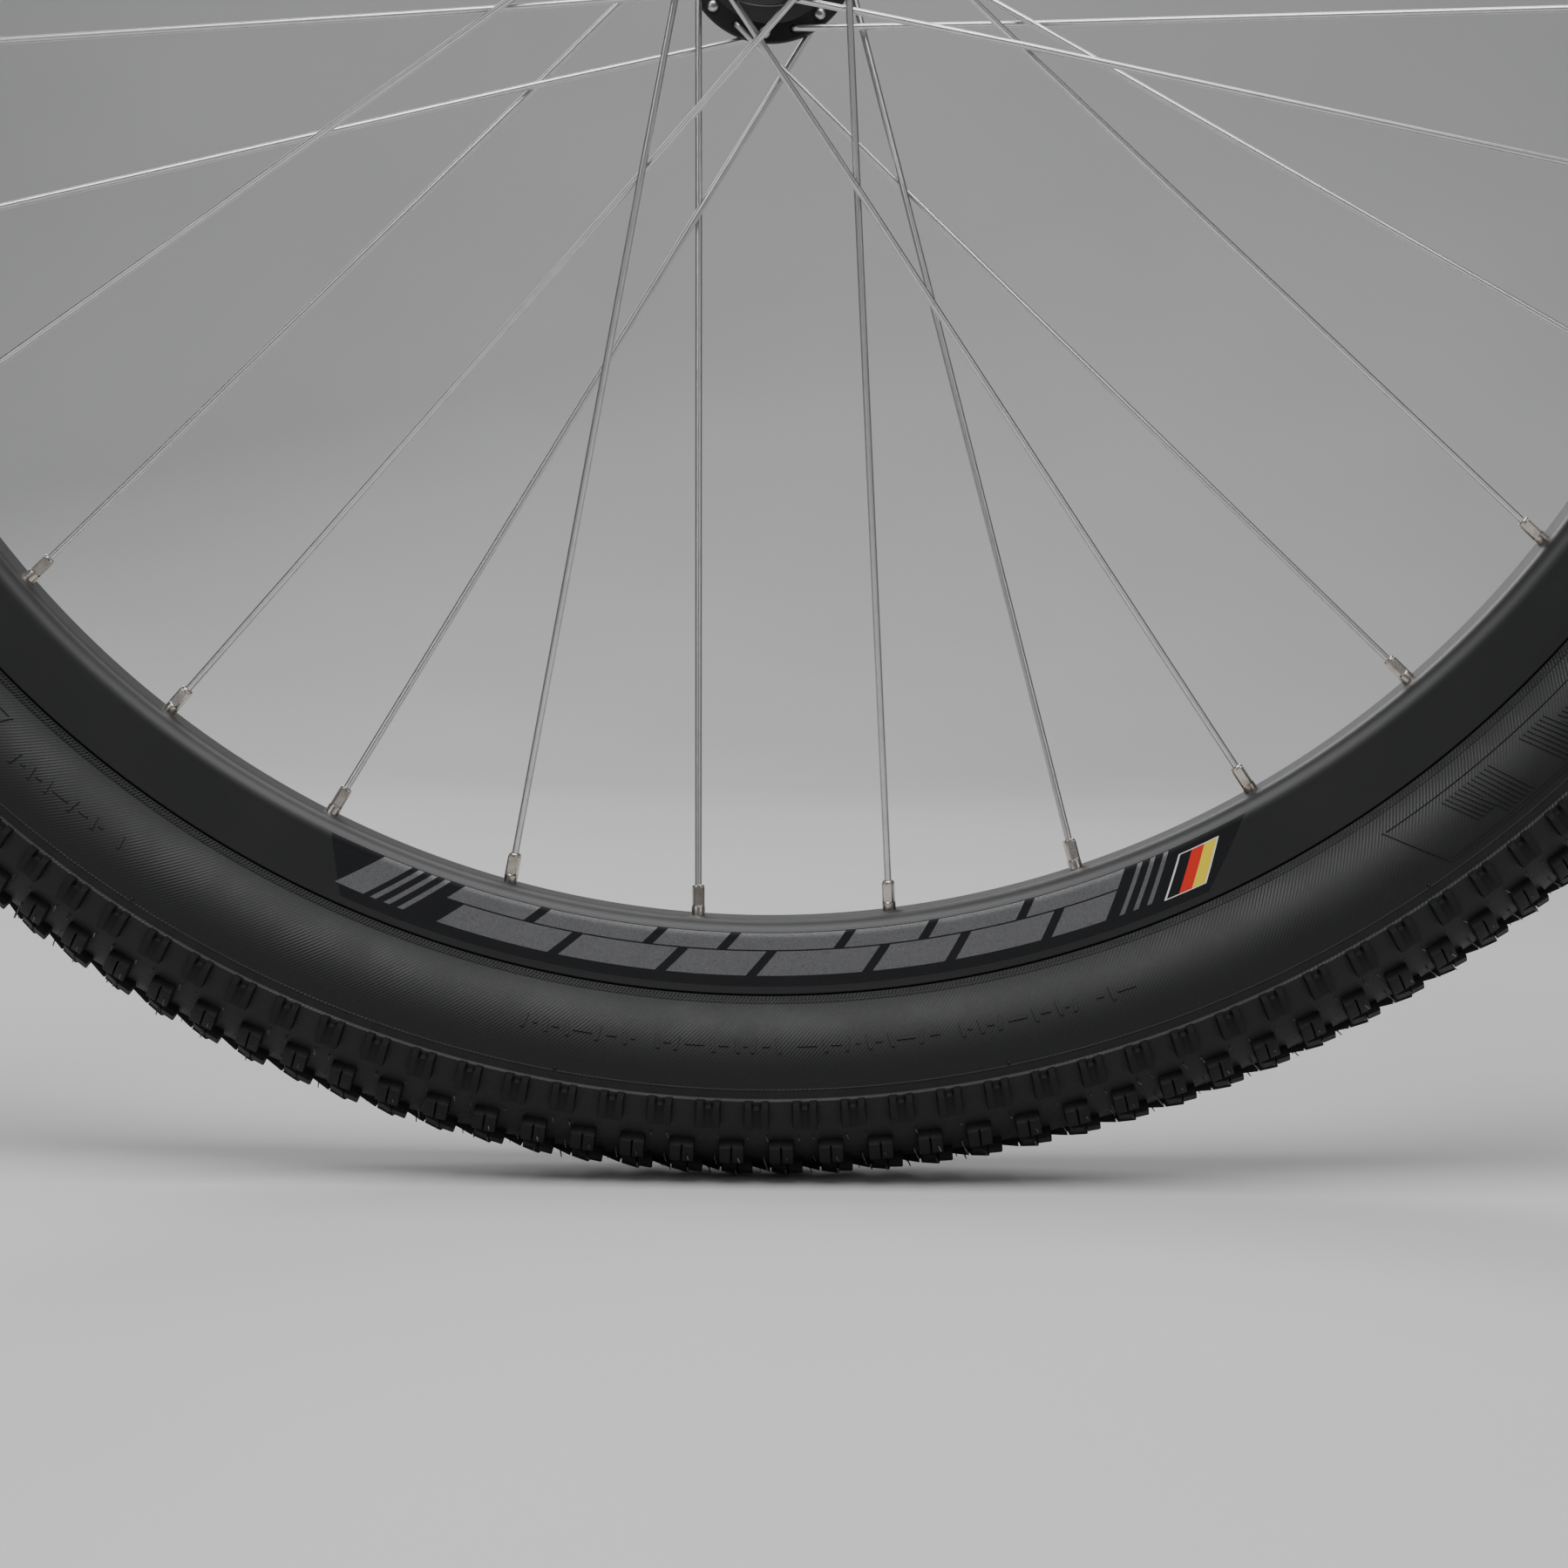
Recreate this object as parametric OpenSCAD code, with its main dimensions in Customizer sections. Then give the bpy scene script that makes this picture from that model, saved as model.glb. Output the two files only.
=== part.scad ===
// Front mountain-bike wheel: double-wall disc rim, 32 crossed spokes, cup-and-cone hub,
// quick-release skewer, inner tube and knobbly tyre.
// Origin at the wheel's centre, axle along Y, disc side towards -Y, +Z up.

/* [Tyre] */
// Width of the tyre casing
casing_w = 52; // [46:1:63]
// Thickness of the casing at the sidewall
casing_wall = 1.6; // [1.2:0.1:2.4]
// Height of the tread knobs above the casing
knob_h = 4.4; // [3:0.1:5.4]
// Thickness of the rubber under the knobs
tread_base = 0.8; // [0.5:0.1:1.2]
// Rows of side knobs round the tyre
knob_rows = 154; // [120:2:186]
// Share of each row that a side knob fills
knob_share = 0.48; // [0.4:0.01:0.6]
// Diameter of the steel wire in each bead
bead_wire_d = 2.2; // [1.8:0.1:2.6]
// Thickness of the inner tube's rubber
tube_wall = 0.9; // [0.7:0.1:1.1]

/* [Rim] */
// Bead seat diameter
bead_seat_d = 584; // [486:1:701]
// Outer width over the two flanges
rim_w = 27; // [24:0.5:32]
// Thickness of each tyre-side flange
flange_wall = 1.6; // [1.3:0.1:1.9]
// Height of the flange above the bead seat
flange_h = 6; // [5.5:0.1:6.5]
// Depth from the spoke bed to the flange's edge
rim_depth = 21; // [19:0.5:26]
// Thickness of the spoke bed and of the walls
rim_wall = 1.4; // [1.2:0.1:1.7]
// Radius of the rounded corners beside the spoke bed
bed_corner_r = 6; // [5:0.1:7]
// Depth of the drop centre below the bead seat
drop_depth = 4.5; // [3.5:0.1:5]
// Clearance between pieces that are assembled together
fit_gap = 0.1; // [0.05:0.01:0.15]

/* [Spokes] */
// Number of spokes
spoke_count = 32; // [24:4:36]
// Number of crossings on each flange
spoke_crosses = 3; // [2:1:3]
// Spoke diameter
spoke_d = 2; // [1.8:0.05:2.1]
// Angle of the first nipple from straight down
first_nipple_a = -48.6; // [-90:0.1:90]
// Radius of the bend at the spoke's elbow
elbow_r = 1.5; // [1.4:0.1:1.7]
// Diameter of the spoke's head
spoke_head_d = 3.6; // [3.2:0.1:3.8]
// Length of the nipple that stands out of the rim
nipple_len = 8.4; // [7:0.1:10]
// Width across the nipple's square flats
nipple_flats = 3.3; // [3:0.05:3.6]
// Diameter of the nipple's round shank
nipple_shank_d = 3.9; // [3.7:0.05:4.1]
// Diameter of the nipple's head inside the rim
nipple_head_d = 5.8; // [5.4:0.1:6.2]

/* [Hub] */
// Distance over the two locknut faces
over_locknuts = 100; // [96:1:120]
// Distance from the wheel's middle to the disc-side flange
flange_left_y = 22.1; // [18.5:0.1:24.5]
// Distance from the wheel's middle to the other flange
flange_right_y = 33.8; // [28.2:0.1:34.5]
// Diameter of the circle of spoke holes
flange_pcd = 44; // [42:0.5:53]
// Thickness of a flange at its holes
flange_t = 3; // [2.6:0.1:3.3]
// Outer radius of the hub's middle
barrel_r = 13.5; // [13:0.1:15]
// Diameter of the splined seat for the brake rotor
rotor_spline_d = 32.8; // [32:0.1:34]
// Number of splines on the rotor seat
spline_count = 18; // [12:2:24]
// Length of the rotor seat
spline_len = 8; // [7:0.1:9]

/* [Bearings and axle] */
// Diameter of the axle
axle_d = 9; // [8:0.1:9.6]
// Length of axle that stands out past each locknut
axle_end_len = 5.5; // [4:0.1:6.5]
// Diameter of the turned ends that sit in the fork
axle_end_d = 8.9; // [7.8:0.1:9.4]
// Diameter of a bearing ball
ball_d = 4.76; // [4.4:0.01:4.9]
// Number of balls on each side
ball_count = 10; // [8:1:10]
// Radius of the circle through the balls' centres
ball_ring_r = 8.2; // [8.1:0.1:8.6]
// Distance from a locknut's face to the balls' centres
ball_inset = 16; // [15.5:0.1:17]
// Clearance between the balls and their races
race_gap = 0.05; // [0.02:0.01:0.08]

/* [Quick release] */
// Diameter of the skewer rod
skewer_d = 5; // [4.5:0.1:5.2]
// Thickness of the fork end that the skewer clamps
fork_end_t = 7; // [6.5:0.1:9]
// Distance that the cam pulls the skewer
cam_pull = 1.5; // [1:0.1:1.8]
// Length of the lever from its pivot
lever_len = 68; // [56:1:82]

/* [Valve] */
// Length of the valve past the spoke bed
valve_len = 29; // [26:0.5:34]
// Diameter of the rubber-covered stem
stem_d = 8.2; // [8:0.1:8.4]
// Diameter of the stem's thread
stem_thread_d = 7.7; // [7.6:0.1:7.8]

/* [Hidden] */
$fn = 96;

LEFT = -1;
RIGHT = 1;
overlap = 0.15;

// Rim and tyre radii
seat_r = bead_seat_d / 2;
flange_r = seat_r + flange_h;
bed_r = flange_r - rim_depth;
half_w = rim_w / 2;
inner_half_w = half_w - flange_wall;
bed_half_w = half_w - 1.4 - bed_corner_r;
channel_r = seat_r - drop_depth;
channel_half_w = 6;
section_r = casing_w / 2;
section_centre_r = flange_r + fit_gap + sqrt(pow(section_r, 2) - pow(half_w + fit_gap, 2));
casing_start_a = 180 - asin((half_w + fit_gap) / section_r);
bead_half_w = inner_half_w - 1;
bead_wire_r = seat_r + 2.4;
bead_wire_y = bead_half_w - 1.5;
tape_t = 0.5;
pad_t = 1.2;
knob_from_a = 54;
knob_to_a = 76;
tube_floor_r = channel_r + tape_t + pad_t + 3 * fit_gap;

// Lacing: each spoke lies in a plane that holds the Y direction, and is worked out in that plane
hole_r = flange_pcd / 2;
nipple_pitch = 360 / spoke_count;
cross_a = spoke_crosses * 2 * nipple_pitch;
spoke_r = spoke_d / 2;
spoke_run = sqrt(pow(hole_r, 2) + pow(bed_r, 2) - 2 * hole_r * bed_r * cos(cross_a));
tangent_r = hole_r * bed_r * sin(cross_a) / spoke_run;
outer_cross_r = tangent_r / sin(asin(tangent_r / bed_r) + nipple_pitch);
hub_u = sqrt(max(0, pow(hole_r, 2) - pow(tangent_r, 2)));
cross_run = sqrt(pow(outer_cross_r, 2) - pow(tangent_r, 2)) - hub_u;
lie = flange_t / 2 + spoke_r + fit_gap / 2;
cross_lie = spoke_r + fit_gap / 2;
flange_rim_r = hole_r + 3.1;
lie_slope = (flange_right_y * cross_run / spoke_run + lie + cross_lie) / cross_run;
rim_run = sqrt(pow(flange_rim_r, 2) - pow(tangent_r, 2)) - hub_u;
spoke_hole_r = spoke_r + 0.25;

// Bearings, counted outwards from the wheel's middle
locknut_y = over_locknuts / 2;
ball_y = locknut_y - ball_inset;
race_r = ball_d / 2 + race_gap;
shell_end_y = ball_y + 7.5;
locknut_t = 4;
washer_t = 1.5;
spacer_t = 3;
cone_end_y = locknut_y - locknut_t - washer_t - spacer_t;
cone_neck_r = 8;
cup_r = 13;
cup_y = [ball_y - 3.5, ball_y + 4.6];
axle_r = axle_d / 2;
axle_fit = 0.03;

// Quick release, with the pivot of its lever along X
skewer_r = skewer_d / 2;
clamp_y = locknut_y + fork_end_t;
housing_r = 9.5;
housing_len = 18;
spring_pocket = 3.4;
spring_pocket_r = 7.6;
shelf_t = 1.2;
eye_in = 4.6;
eye_out = 5.5;
pivot_y = -(clamp_y + spring_pocket + shelf_t + cam_pull + 0.3 + eye_in);
cam_r = 3.6;
cam_offset = cam_pull / 2;
lever_shaft_r = 4.6;
eye_r = 6;
eye_slot = 1.1;
cheek_x = housing_r + 0.4;
arm_t = 4;
grip_len = 22;
arm_len = lever_len - grip_len;
nut_r = 8.5;
nut_len = 13;
wire_r = 0.5;

// Valve, opposite the rim's joint
valve_a = first_nipple_a + (4.5 + spoke_count / 2) * nipple_pitch;
joint_a = valve_a - 180;
tip_r = bed_r - valve_len;
thread_len = 9;
core_r = 2.5;
core_len = 17;
pin_r = 0.7;
pin_travel = 1.5;
cap_r = 5.2;
cap_len = 10.3;

function mirrored(points) = concat(points, [for (i = [len(points) - 1 : -1 : 0]) [points[i][0], -points[i][1]]]);
function arc(centre, r, from, to, steps) =
    [for (i = [0 : steps]) let (a = from + (to - from) * i / steps) centre + r * [cos(a), sin(a)]];

// Local +Z becomes +Y
module on_axle() {
    rotate([-90, 0, 0]) children();
}

// What is drawn for the right side, put on either side
module on_side(side) {
    mirror([0, side == LEFT ? 1 : 0, 0]) children();
}

// What is drawn straight below the centre, turned to an angle from straight down
module at_angle(a) {
    rotate([0, -a, 0]) children();
}

module ring(outer_r, inner_r, from, to) {
    translate([0, 0, from]) difference() {
        cylinder(r = outer_r, h = to - from);
        translate([0, 0, -1]) cylinder(r = inner_r, h = to - from + 2);
    }
}

// ---- Axle and bearings ----

module axle() {
    end_r = axle_end_d / 2;
    bore_r = skewer_r + 0.2;
    end_y = locknut_y + axle_end_len;
    chamfer = 0.5;
    color("silver") on_axle() rotate_extrude() polygon([
        [bore_r, -end_y], [end_r - chamfer, -end_y], [end_r, -end_y + chamfer], [end_r, -locknut_y],
        [axle_r, -locknut_y], [axle_r, locknut_y],
        [end_r, locknut_y], [end_r, end_y - chamfer], [end_r - chamfer, end_y], [bore_r, end_y]
    ]);
}

module cone(side) {
    nose_y = ball_y - 1.4;
    shoulder_y = ball_y + 3.8;
    color("dimgray") on_side(side) on_axle() difference() {
        rotate_extrude() difference() {
            polygon([
                [axle_r + axle_fit, nose_y], [6.2, nose_y], [9.6, ball_y + 2.6], [9.6, shoulder_y],
                [cone_neck_r, shoulder_y], [cone_neck_r, cone_end_y], [axle_r + axle_fit, cone_end_y]
            ]);
            translate([ball_ring_r, ball_y]) circle(r = race_r);
        }
        for (s = [-1, 1])
            translate([s * (cone_neck_r + 4.5), 0, cone_end_y]) cube([10, 30, 4], center = true);
    }
}

module cup(side) {
    lip_r = ball_ring_r - 0.3;
    wall_r = ball_ring_r + race_r + 0.25;
    color("lightslategray") on_side(side) on_axle() rotate_extrude() difference() {
        polygon([
            [lip_r, cup_y[0]], [cup_r, cup_y[0]], [cup_r, cup_y[1]], [wall_r, cup_y[1]],
            [wall_r, ball_y], [lip_r, ball_y]
        ]);
        translate([ball_ring_r, ball_y]) circle(r = race_r);
    }
}

module balls(side) {
    color("gainsboro") on_side(side) on_axle()
        for (i = [0 : ball_count - 1])
            rotate([0, 0, i * 360 / ball_count]) translate([ball_ring_r, 0, ball_y]) sphere(r = ball_d / 2);
}

module spacer(side) {
    color("silver") on_side(side) on_axle()
        ring(7, axle_r + axle_fit, cone_end_y, cone_end_y + spacer_t);
}

module lock_washer(side) {
    color("gray") on_side(side) on_axle()
        ring(8, axle_r + axle_fit, cone_end_y + spacer_t, locknut_y - locknut_t);
}

module locknut(side) {
    across_flats = 17;
    color("slategray") on_side(side) on_axle() difference() {
        intersection() {
            translate([0, 0, locknut_y - locknut_t])
                cylinder(r = across_flats / 2 / cos(30), h = locknut_t, $fn = 6);
            translate([0, 0, locknut_y - locknut_t])
                cylinder(r1 = across_flats / 2 + 2.2, r2 = across_flats / 2 + 0.2, h = locknut_t);
        }
        translate([0, 0, locknut_y - locknut_t - 1]) cylinder(r = axle_r + axle_fit, h = locknut_t + 2);
    }
}

// Rubber boot on the cone that covers the mouth of the hub
module seal(side) {
    lip_y = shell_end_y + 0.4;
    color("black") on_side(side) on_axle() rotate_extrude() polygon([
        [7 + axle_fit, cone_end_y], [8.4, cone_end_y], [12.4, lip_y], [13.6, lip_y],
        [13.6, lip_y + 0.7], [9.2, cone_end_y + 2.6], [7 + axle_fit, cone_end_y + 2.6]
    ]);
}

module dust_cap(side) {
    color("black") on_side(side) on_axle() rotate_extrude() polygon([
        [10.2, cup_y[1]], [cup_r, cup_y[1]], [cup_r, shell_end_y], [cup_r - 1, shell_end_y],
        [cup_r - 1, cup_y[1] + 0.9], [10.2, cup_y[1] + 0.9]
    ]);
}

// ---- Hub shell ----

// Outline of a flange from its outer root to its inner root, with its middle at y = 0
function flange_outline(root_r) =
    let (face = flange_t / 2, edge = max(0.2, face - lie_slope * rim_run))
    [
        [root_r, face + 1.2], [hole_r - 2.6, face], [hole_r - 0.6, face],
        [flange_rim_r - 0.3, edge], [flange_rim_r, edge - 0.3],
        [flange_rim_r, 0.5 - face], [flange_rim_r - 0.5, -face],
        [hole_r - 2.6, -face], [root_r - 1, -face - 1.2]
    ];
function reversed(points) = [for (i = [len(points) - 1 : -1 : 0]) points[i]];

module hub_shell() {
    boss_r = rotor_spline_d / 2;
    shoulder_y = shell_end_y - spline_len;
    bore_r = 10.5;
    waist_r = barrel_r - 1.4;
    neck_r = cup_r + 2.6;
    relief = 0.6;
    color("black") on_axle() difference() {
        rotate_extrude() polygon(concat(
            [
                [cup_r, -shell_end_y], [boss_r - 0.6, -shell_end_y], [boss_r, -shell_end_y + 0.6],
                [boss_r, -shoulder_y], [boss_r + 2.2, -shoulder_y], [boss_r + 2.2, 2 - shoulder_y],
                [neck_r, 3.4 - shoulder_y]
            ],
            [for (p = flange_outline(neck_r)) [p[0], -flange_left_y - p[1]]],
            [[barrel_r, -flange_left_y + 8], [waist_r, 0], [barrel_r, flange_right_y - 11]],
            [for (p = reversed(flange_outline(neck_r))) [p[0], flange_right_y + p[1]]],
            [
                [neck_r, shell_end_y - 0.6], [neck_r - 0.6, shell_end_y], [cup_r, shell_end_y],
                [cup_r, cup_y[0]], [bore_r, cup_y[0]], [bore_r, -cup_y[0]], [cup_r, -cup_y[0]]
            ]
        ));
        for (i = [0 : spline_count - 1])
            rotate([0, 0, (i + 0.5) * 360 / spline_count])
                translate([boss_r + 0.4, 0, -shell_end_y - 1]) cylinder(r = 1.5, h = spline_len + 1 - relief);
        for (k = [0 : spoke_count - 1])
            spoke_hole(k);
    }
}

// The nipple's number fixes the flange, and the way that its spoke leans
function nipple_a(k) = first_nipple_a + k * nipple_pitch;
function spoke_side(k) = k % 2 == 0 ? RIGHT : LEFT;
function spoke_lean(k) = k % 4 == 0 || k % 4 == 3 ? -1 : 1;
function flange_y(side) = side == LEFT ? flange_left_y : flange_right_y;

module spoke_hole(k) {
    side = spoke_side(k);
    a = nipple_a(k) + spoke_lean(k) * cross_a;
    rotate([0, 0, 90 - a]) translate([hole_r, 0, side * flange_y(side)])
        cylinder(r = spoke_hole_r, h = flange_t + 2, center = true);
}

// ---- Spokes and nipples ----

// Where spoke k crosses its neighbour, measured outwards from the wheel's middle. Spokes that lean
// to the right leave the flange's outer face and pass inside the others at the outermost crossing.
function lie_side(k) = spoke_lean(k);
function hub_lie(k) = flange_y(spoke_side(k)) + lie_side(k) * lie;
function cross_y(k) =
    flange_y(spoke_side(k)) * (1 - cross_run / spoke_run) - lie_side(k) * cross_lie;

// Puts children in the plane of spoke k: origin at its hub hole, the rim towards -Z
module spoke_plane(k) {
    lean = spoke_lean(k);
    turn = atan2(-hole_r * sin(lean * cross_a), bed_r - hole_r * cos(cross_a));
    on_side(spoke_side(k)) at_angle(nipple_a(k))
        translate([hole_r * sin(lean * cross_a), 0, -hole_r * cos(cross_a)])
            rotate([0, -turn, 0]) children();
}

// Round rod between two points of the YZ plane, each [y, distance towards the rim]
module rod(from, to, r) {
    step = to - from;
    translate([0, from[0], -from[1]]) rotate([atan2(-step[0], -step[1]), 0, 0])
        cylinder(r = r, h = norm(step), $fn = 32);
}

module spoke(k) {
    out = lie_side(k);
    corner = [hub_lie(k), 0];
    kink = [cross_y(k), cross_run];
    seat = [0, spoke_run];
    way = (kink - corner) / norm(kink - corner);
    last_way = (seat - kink) / norm(seat - kink);
    bend_a = acos(way[0] * out);
    bend_len = elbow_r * tan(bend_a / 2);
    head_y = flange_y(spoke_side(k)) - out * (flange_t / 2 + fit_gap / 2);
    spoke_plane(k) {
        translate([0, head_y, 0]) rotate([out * 90, 0, 0])
            cylinder(d1 = spoke_head_d, d2 = spoke_head_d - 1.1, h = 1.3, $fn = 32);
        rod([head_y - out * 0.5, 0], [corner[0] - out * (bend_len - overlap), 0], spoke_r);
        translate([0, corner[0] - out * bend_len, -elbow_r]) rotate([90, 0, 90])
            rotate([0, 0, out > 0 ? 90 - bend_a : 90])
                rotate_extrude(angle = bend_a, $fn = 48) translate([elbow_r, 0])
                    circle(r = spoke_r + 0.02, $fn = 32);
        rod(corner + way * (bend_len - overlap), kink, spoke_r);
        translate([0, kink[0], -kink[1]]) sphere(r = spoke_r + 0.03, $fn = 32);
        rod(kink, seat + last_way, spoke_r);
    }
}

// The spoke group of one flange that leans one way
module spokes(side, lean) {
    color("silver")
        for (k = [0 : spoke_count - 1])
            if (spoke_side(k) == side && spoke_lean(k) == lean) spoke(k);
}

function nipple_tilt(k) = atan2(cross_y(k), spoke_run - cross_run);

// Puts children on spoke k where it meets the spoke bed, with the hub towards +Z
module nipple_seat(k) {
    spoke_plane(k) translate([0, 0, -spoke_run])
        rotate([-nipple_tilt(k), 0, 0]) children();
}

module nipple(k) {
    shank_r = nipple_shank_d / 2;
    head_r = nipple_head_d / 2;
    seat_z = -rim_wall - fit_gap - shank_r * tan(nipple_tilt(k));
    round_len = 2.9;
    nipple_seat(k) difference() {
        union() {
            rotate_extrude($fn = 48) polygon([
                [0, seat_z - 2.1], [head_r - 0.4, seat_z - 2.1], [head_r, seat_z - 1.7],
                [head_r, seat_z - 0.7], [shank_r, seat_z], [shank_r, round_len], [0, round_len]
            ]);
            intersection() {
                translate([0, 0, (nipple_len + round_len - 0.5) / 2])
                    cube([nipple_flats, nipple_flats, nipple_len - round_len + 0.5], center = true);
                rotate_extrude($fn = 48) polygon([
                    [0, 0], [shank_r + 0.3, 0], [shank_r + 0.3, nipple_len - 0.9],
                    [nipple_flats / 2 - 0.15, nipple_len], [0, nipple_len]
                ]);
            }
        }
        translate([0, 0, seat_z - 3]) cylinder(r = spoke_r + fit_gap / 2, h = nipple_len + 6, $fn = 32);
    }
}

module nipples(side) {
    color("lightgray")
        for (k = [0 : spoke_count - 1])
            if (spoke_side(k) == side) nipple(k);
}

// ---- Rim ----

// Half of the rim's outline from the middle of the spoke bed to the middle of the drop centre
rim_outline = concat(
    [[bed_r, 0]],
    arc([bed_r + bed_corner_r, bed_half_w], bed_corner_r, 180, 90, 8),
    [
        [flange_r - 0.9, half_w], [flange_r - 0.2, half_w - 0.2], [flange_r, half_w - 0.8],
        [flange_r, inner_half_w + 0.1], [flange_r - 0.5, inner_half_w - 0.5],
        [flange_r - 1.4, inner_half_w - 0.5], [flange_r - 2.4, inner_half_w],
        [seat_r, inner_half_w], [seat_r - 0.3, channel_half_w + 1.6],
        [channel_r, channel_half_w], [channel_r, 0]
    ]
);

// Half of the hollow inside the rim, made smaller all round by a gap
function cavity_outline(gap) = concat(
    [[bed_r + rim_wall + gap, 0]],
    arc([bed_r + bed_corner_r, bed_half_w], bed_corner_r - rim_wall - gap, 180, 90, 6),
    [
        [seat_r - rim_wall - gap - 0.3, inner_half_w - 0.9 - gap],
        [seat_r - rim_wall - gap - 0.6, channel_half_w + 2 + gap],
        [channel_r - rim_wall - gap, channel_half_w + 0.6 + gap], [channel_r - rim_wall - gap, 0]
    ]
);

module rim() {
    valve_hole_r = stem_d / 2 + 0.15;
    access_r = 4.4;
    color("#151516") difference() {
        on_axle() rotate_extrude($fn = 360) difference() {
            polygon(mirrored(rim_outline));
            polygon(mirrored(cavity_outline(0)));
        }
        for (k = [0 : spoke_count - 1]) {
            nipple_seat(k) translate([0, 0, -rim_wall - 2])
                cylinder(r = nipple_shank_d / 2 + fit_gap, h = rim_wall + 4, $fn = 48);
            at_angle(nipple_a(k)) translate([0, 0, -channel_r - 2]) cylinder(r = access_r, h = rim_wall + 4, $fn = 48);
        }
        at_angle(valve_a) translate([0, 0, -channel_r - 2])
            cylinder(r = valve_hole_r, h = channel_r - bed_r + 4, $fn = 48);
    }
}

// Insert that holds the two ends of the rim together, between the two nipples beside the joint
module rim_joint_sleeve() {
    sleeve_a = nipple_pitch - 2.4;
    color("gray") at_angle(joint_a) on_axle() rotate([0, 0, 90 - sleeve_a / 2])
        rotate_extrude(angle = sleeve_a, $fn = 360) polygon(mirrored(cavity_outline(fit_gap)));
}

module rim_tape() {
    tape_half_w = channel_half_w - 0.3;
    color("darkorange") difference() {
        on_axle() ring(channel_r + fit_gap + tape_t, channel_r + fit_gap, -tape_half_w, tape_half_w);
        at_angle(valve_a) translate([0, 0, -channel_r - 4]) cylinder(r = stem_d / 2 + 0.15, h = 8);
    }
}

// ---- Tyre and tube ----

// Point of the casing's round section, by its angle from the crown and its distance from the outside
function section_point(a, inset) =
    [section_centre_r + (section_r - inset) * cos(a), (section_r - inset) * sin(a)];
function section_arc(from, to, inset, steps) =
    [for (i = [0 : steps]) section_point(from + (to - from) * i / steps, inset)];

module tyre_casing() {
    inner_start_a = 180 - asin((bead_half_w - 2.9) / (section_r - casing_wall));
    half = concat(
        section_arc(0, casing_start_a, 0, 26),
        [
            [flange_r + fit_gap, half_w - 0.6], [flange_r + fit_gap, bead_half_w],
            [seat_r + fit_gap, bead_half_w], [seat_r + fit_gap, bead_half_w - 2.6],
            [seat_r + 1.2, bead_half_w - 3.4]
        ],
        section_arc(inner_start_a, 0, casing_wall, 26)
    );
    color("#1b1a19") on_axle() rotate_extrude($fn = 360) difference() {
        polygon(mirrored(half));
        for (s = [-1, 1])
            translate([bead_wire_r, s * bead_wire_y]) circle(d = bead_wire_d + fit_gap, $fn = 32);
    }
}

module bead_wire(side) {
    color("gray") on_side(side) on_axle() rotate_extrude($fn = 360)
        translate([bead_wire_r, bead_wire_y]) circle(d = bead_wire_d, $fn = 32);
}

// Tread rubber: a band over the crown and shoulders with ribs, and a row of knobs down each side
function tread_point(a, h) =
    [section_centre_r + (section_r + h) * cos(a), (section_r + h) * sin(a)];
function tread_rib(from, to, h) = [
    tread_point(from - 1.5, tread_base), tread_point(from, h),
    tread_point((from + to) / 2, h), tread_point(to, h), tread_point(to + 1.5, tread_base)
];

module tyre_tread() {
    band = concat(
        [tread_point(0, knob_h), tread_point(9, knob_h), tread_point(10.5, tread_base)],
        tread_rib(15, 27, knob_h * 0.95), tread_rib(32, 46, knob_h * 0.9),
        [tread_point(knob_from_a, tread_base), tread_point(knob_to_a, tread_base)],
        [for (i = [0 : 18]) tread_point(knob_to_a * (1 - i / 18), fit_gap / 2)]
    );
    color("#171615") on_axle() {
        rotate_extrude($fn = 360) polygon(mirrored(band));
        for (side = [0, 1]) mirror([0, 0, side]) side_knobs();
    }
}

// Row of side knobs, each sunk into the band that carries it
module side_knobs() {
    sunk = tread_base * 0.5;
    h = knob_h * 0.6;
    foot_a = [knob_from_a + 1, knob_to_a - 1];
    reach_r = tread_point(knob_from_a, h)[0] + 1;
    row_a = 360 / knob_rows;
    half_a = row_a * knob_share / 2;
    foot_r = tread_point(knob_to_a, 0)[0] - 1;
    intersection() {
        rotate_extrude($fn = 360) polygon(concat(
            [for (i = [0 : 6]) tread_point(foot_a[0] + (foot_a[1] - foot_a[0]) * i / 6, sunk)],
            [tread_point(foot_a[1] - 1, h), tread_point(foot_a[0] + 1, h)]
        ));
        linear_extrude(height = casing_w) polygon([
            for (i = [0 : knob_rows - 1], side = [-1, 1])
                for (r = side < 0 ? [foot_r, reach_r] : [reach_r, foot_r])
                    r * [cos(i * row_a + side * half_a), sin(i * row_a + side * half_a)]
        ]);
    }
}

module inner_tube() {
    tube_r = section_r - casing_wall - 0.5;
    floor_half_w = bead_half_w - 4.4;
    start_a = 180 - asin((floor_half_w + 0.4) / tube_r);
    function outline(gap) = concat(
        [for (i = [0 : 24]) let (a = start_a * i / 24)
            [section_centre_r + (tube_r - gap) * cos(a), (tube_r - gap) * sin(a)]],
        [[tube_floor_r + 1.5 + gap, floor_half_w - gap * 0.6], [tube_floor_r + gap, floor_half_w - 1.5 - gap * 0.3]]
    );
    color("dimgray") difference() {
        on_axle() rotate_extrude($fn = 360) difference() {
            polygon(mirrored(outline(0)));
            polygon(mirrored(outline(tube_wall)));
        }
        at_angle(valve_a) translate([0, 0, -tube_floor_r - 4]) cylinder(r = 1.9, h = 8);
    }
}

// ---- Valve, drawn straight below the centre with its tip towards the hub ----

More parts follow.
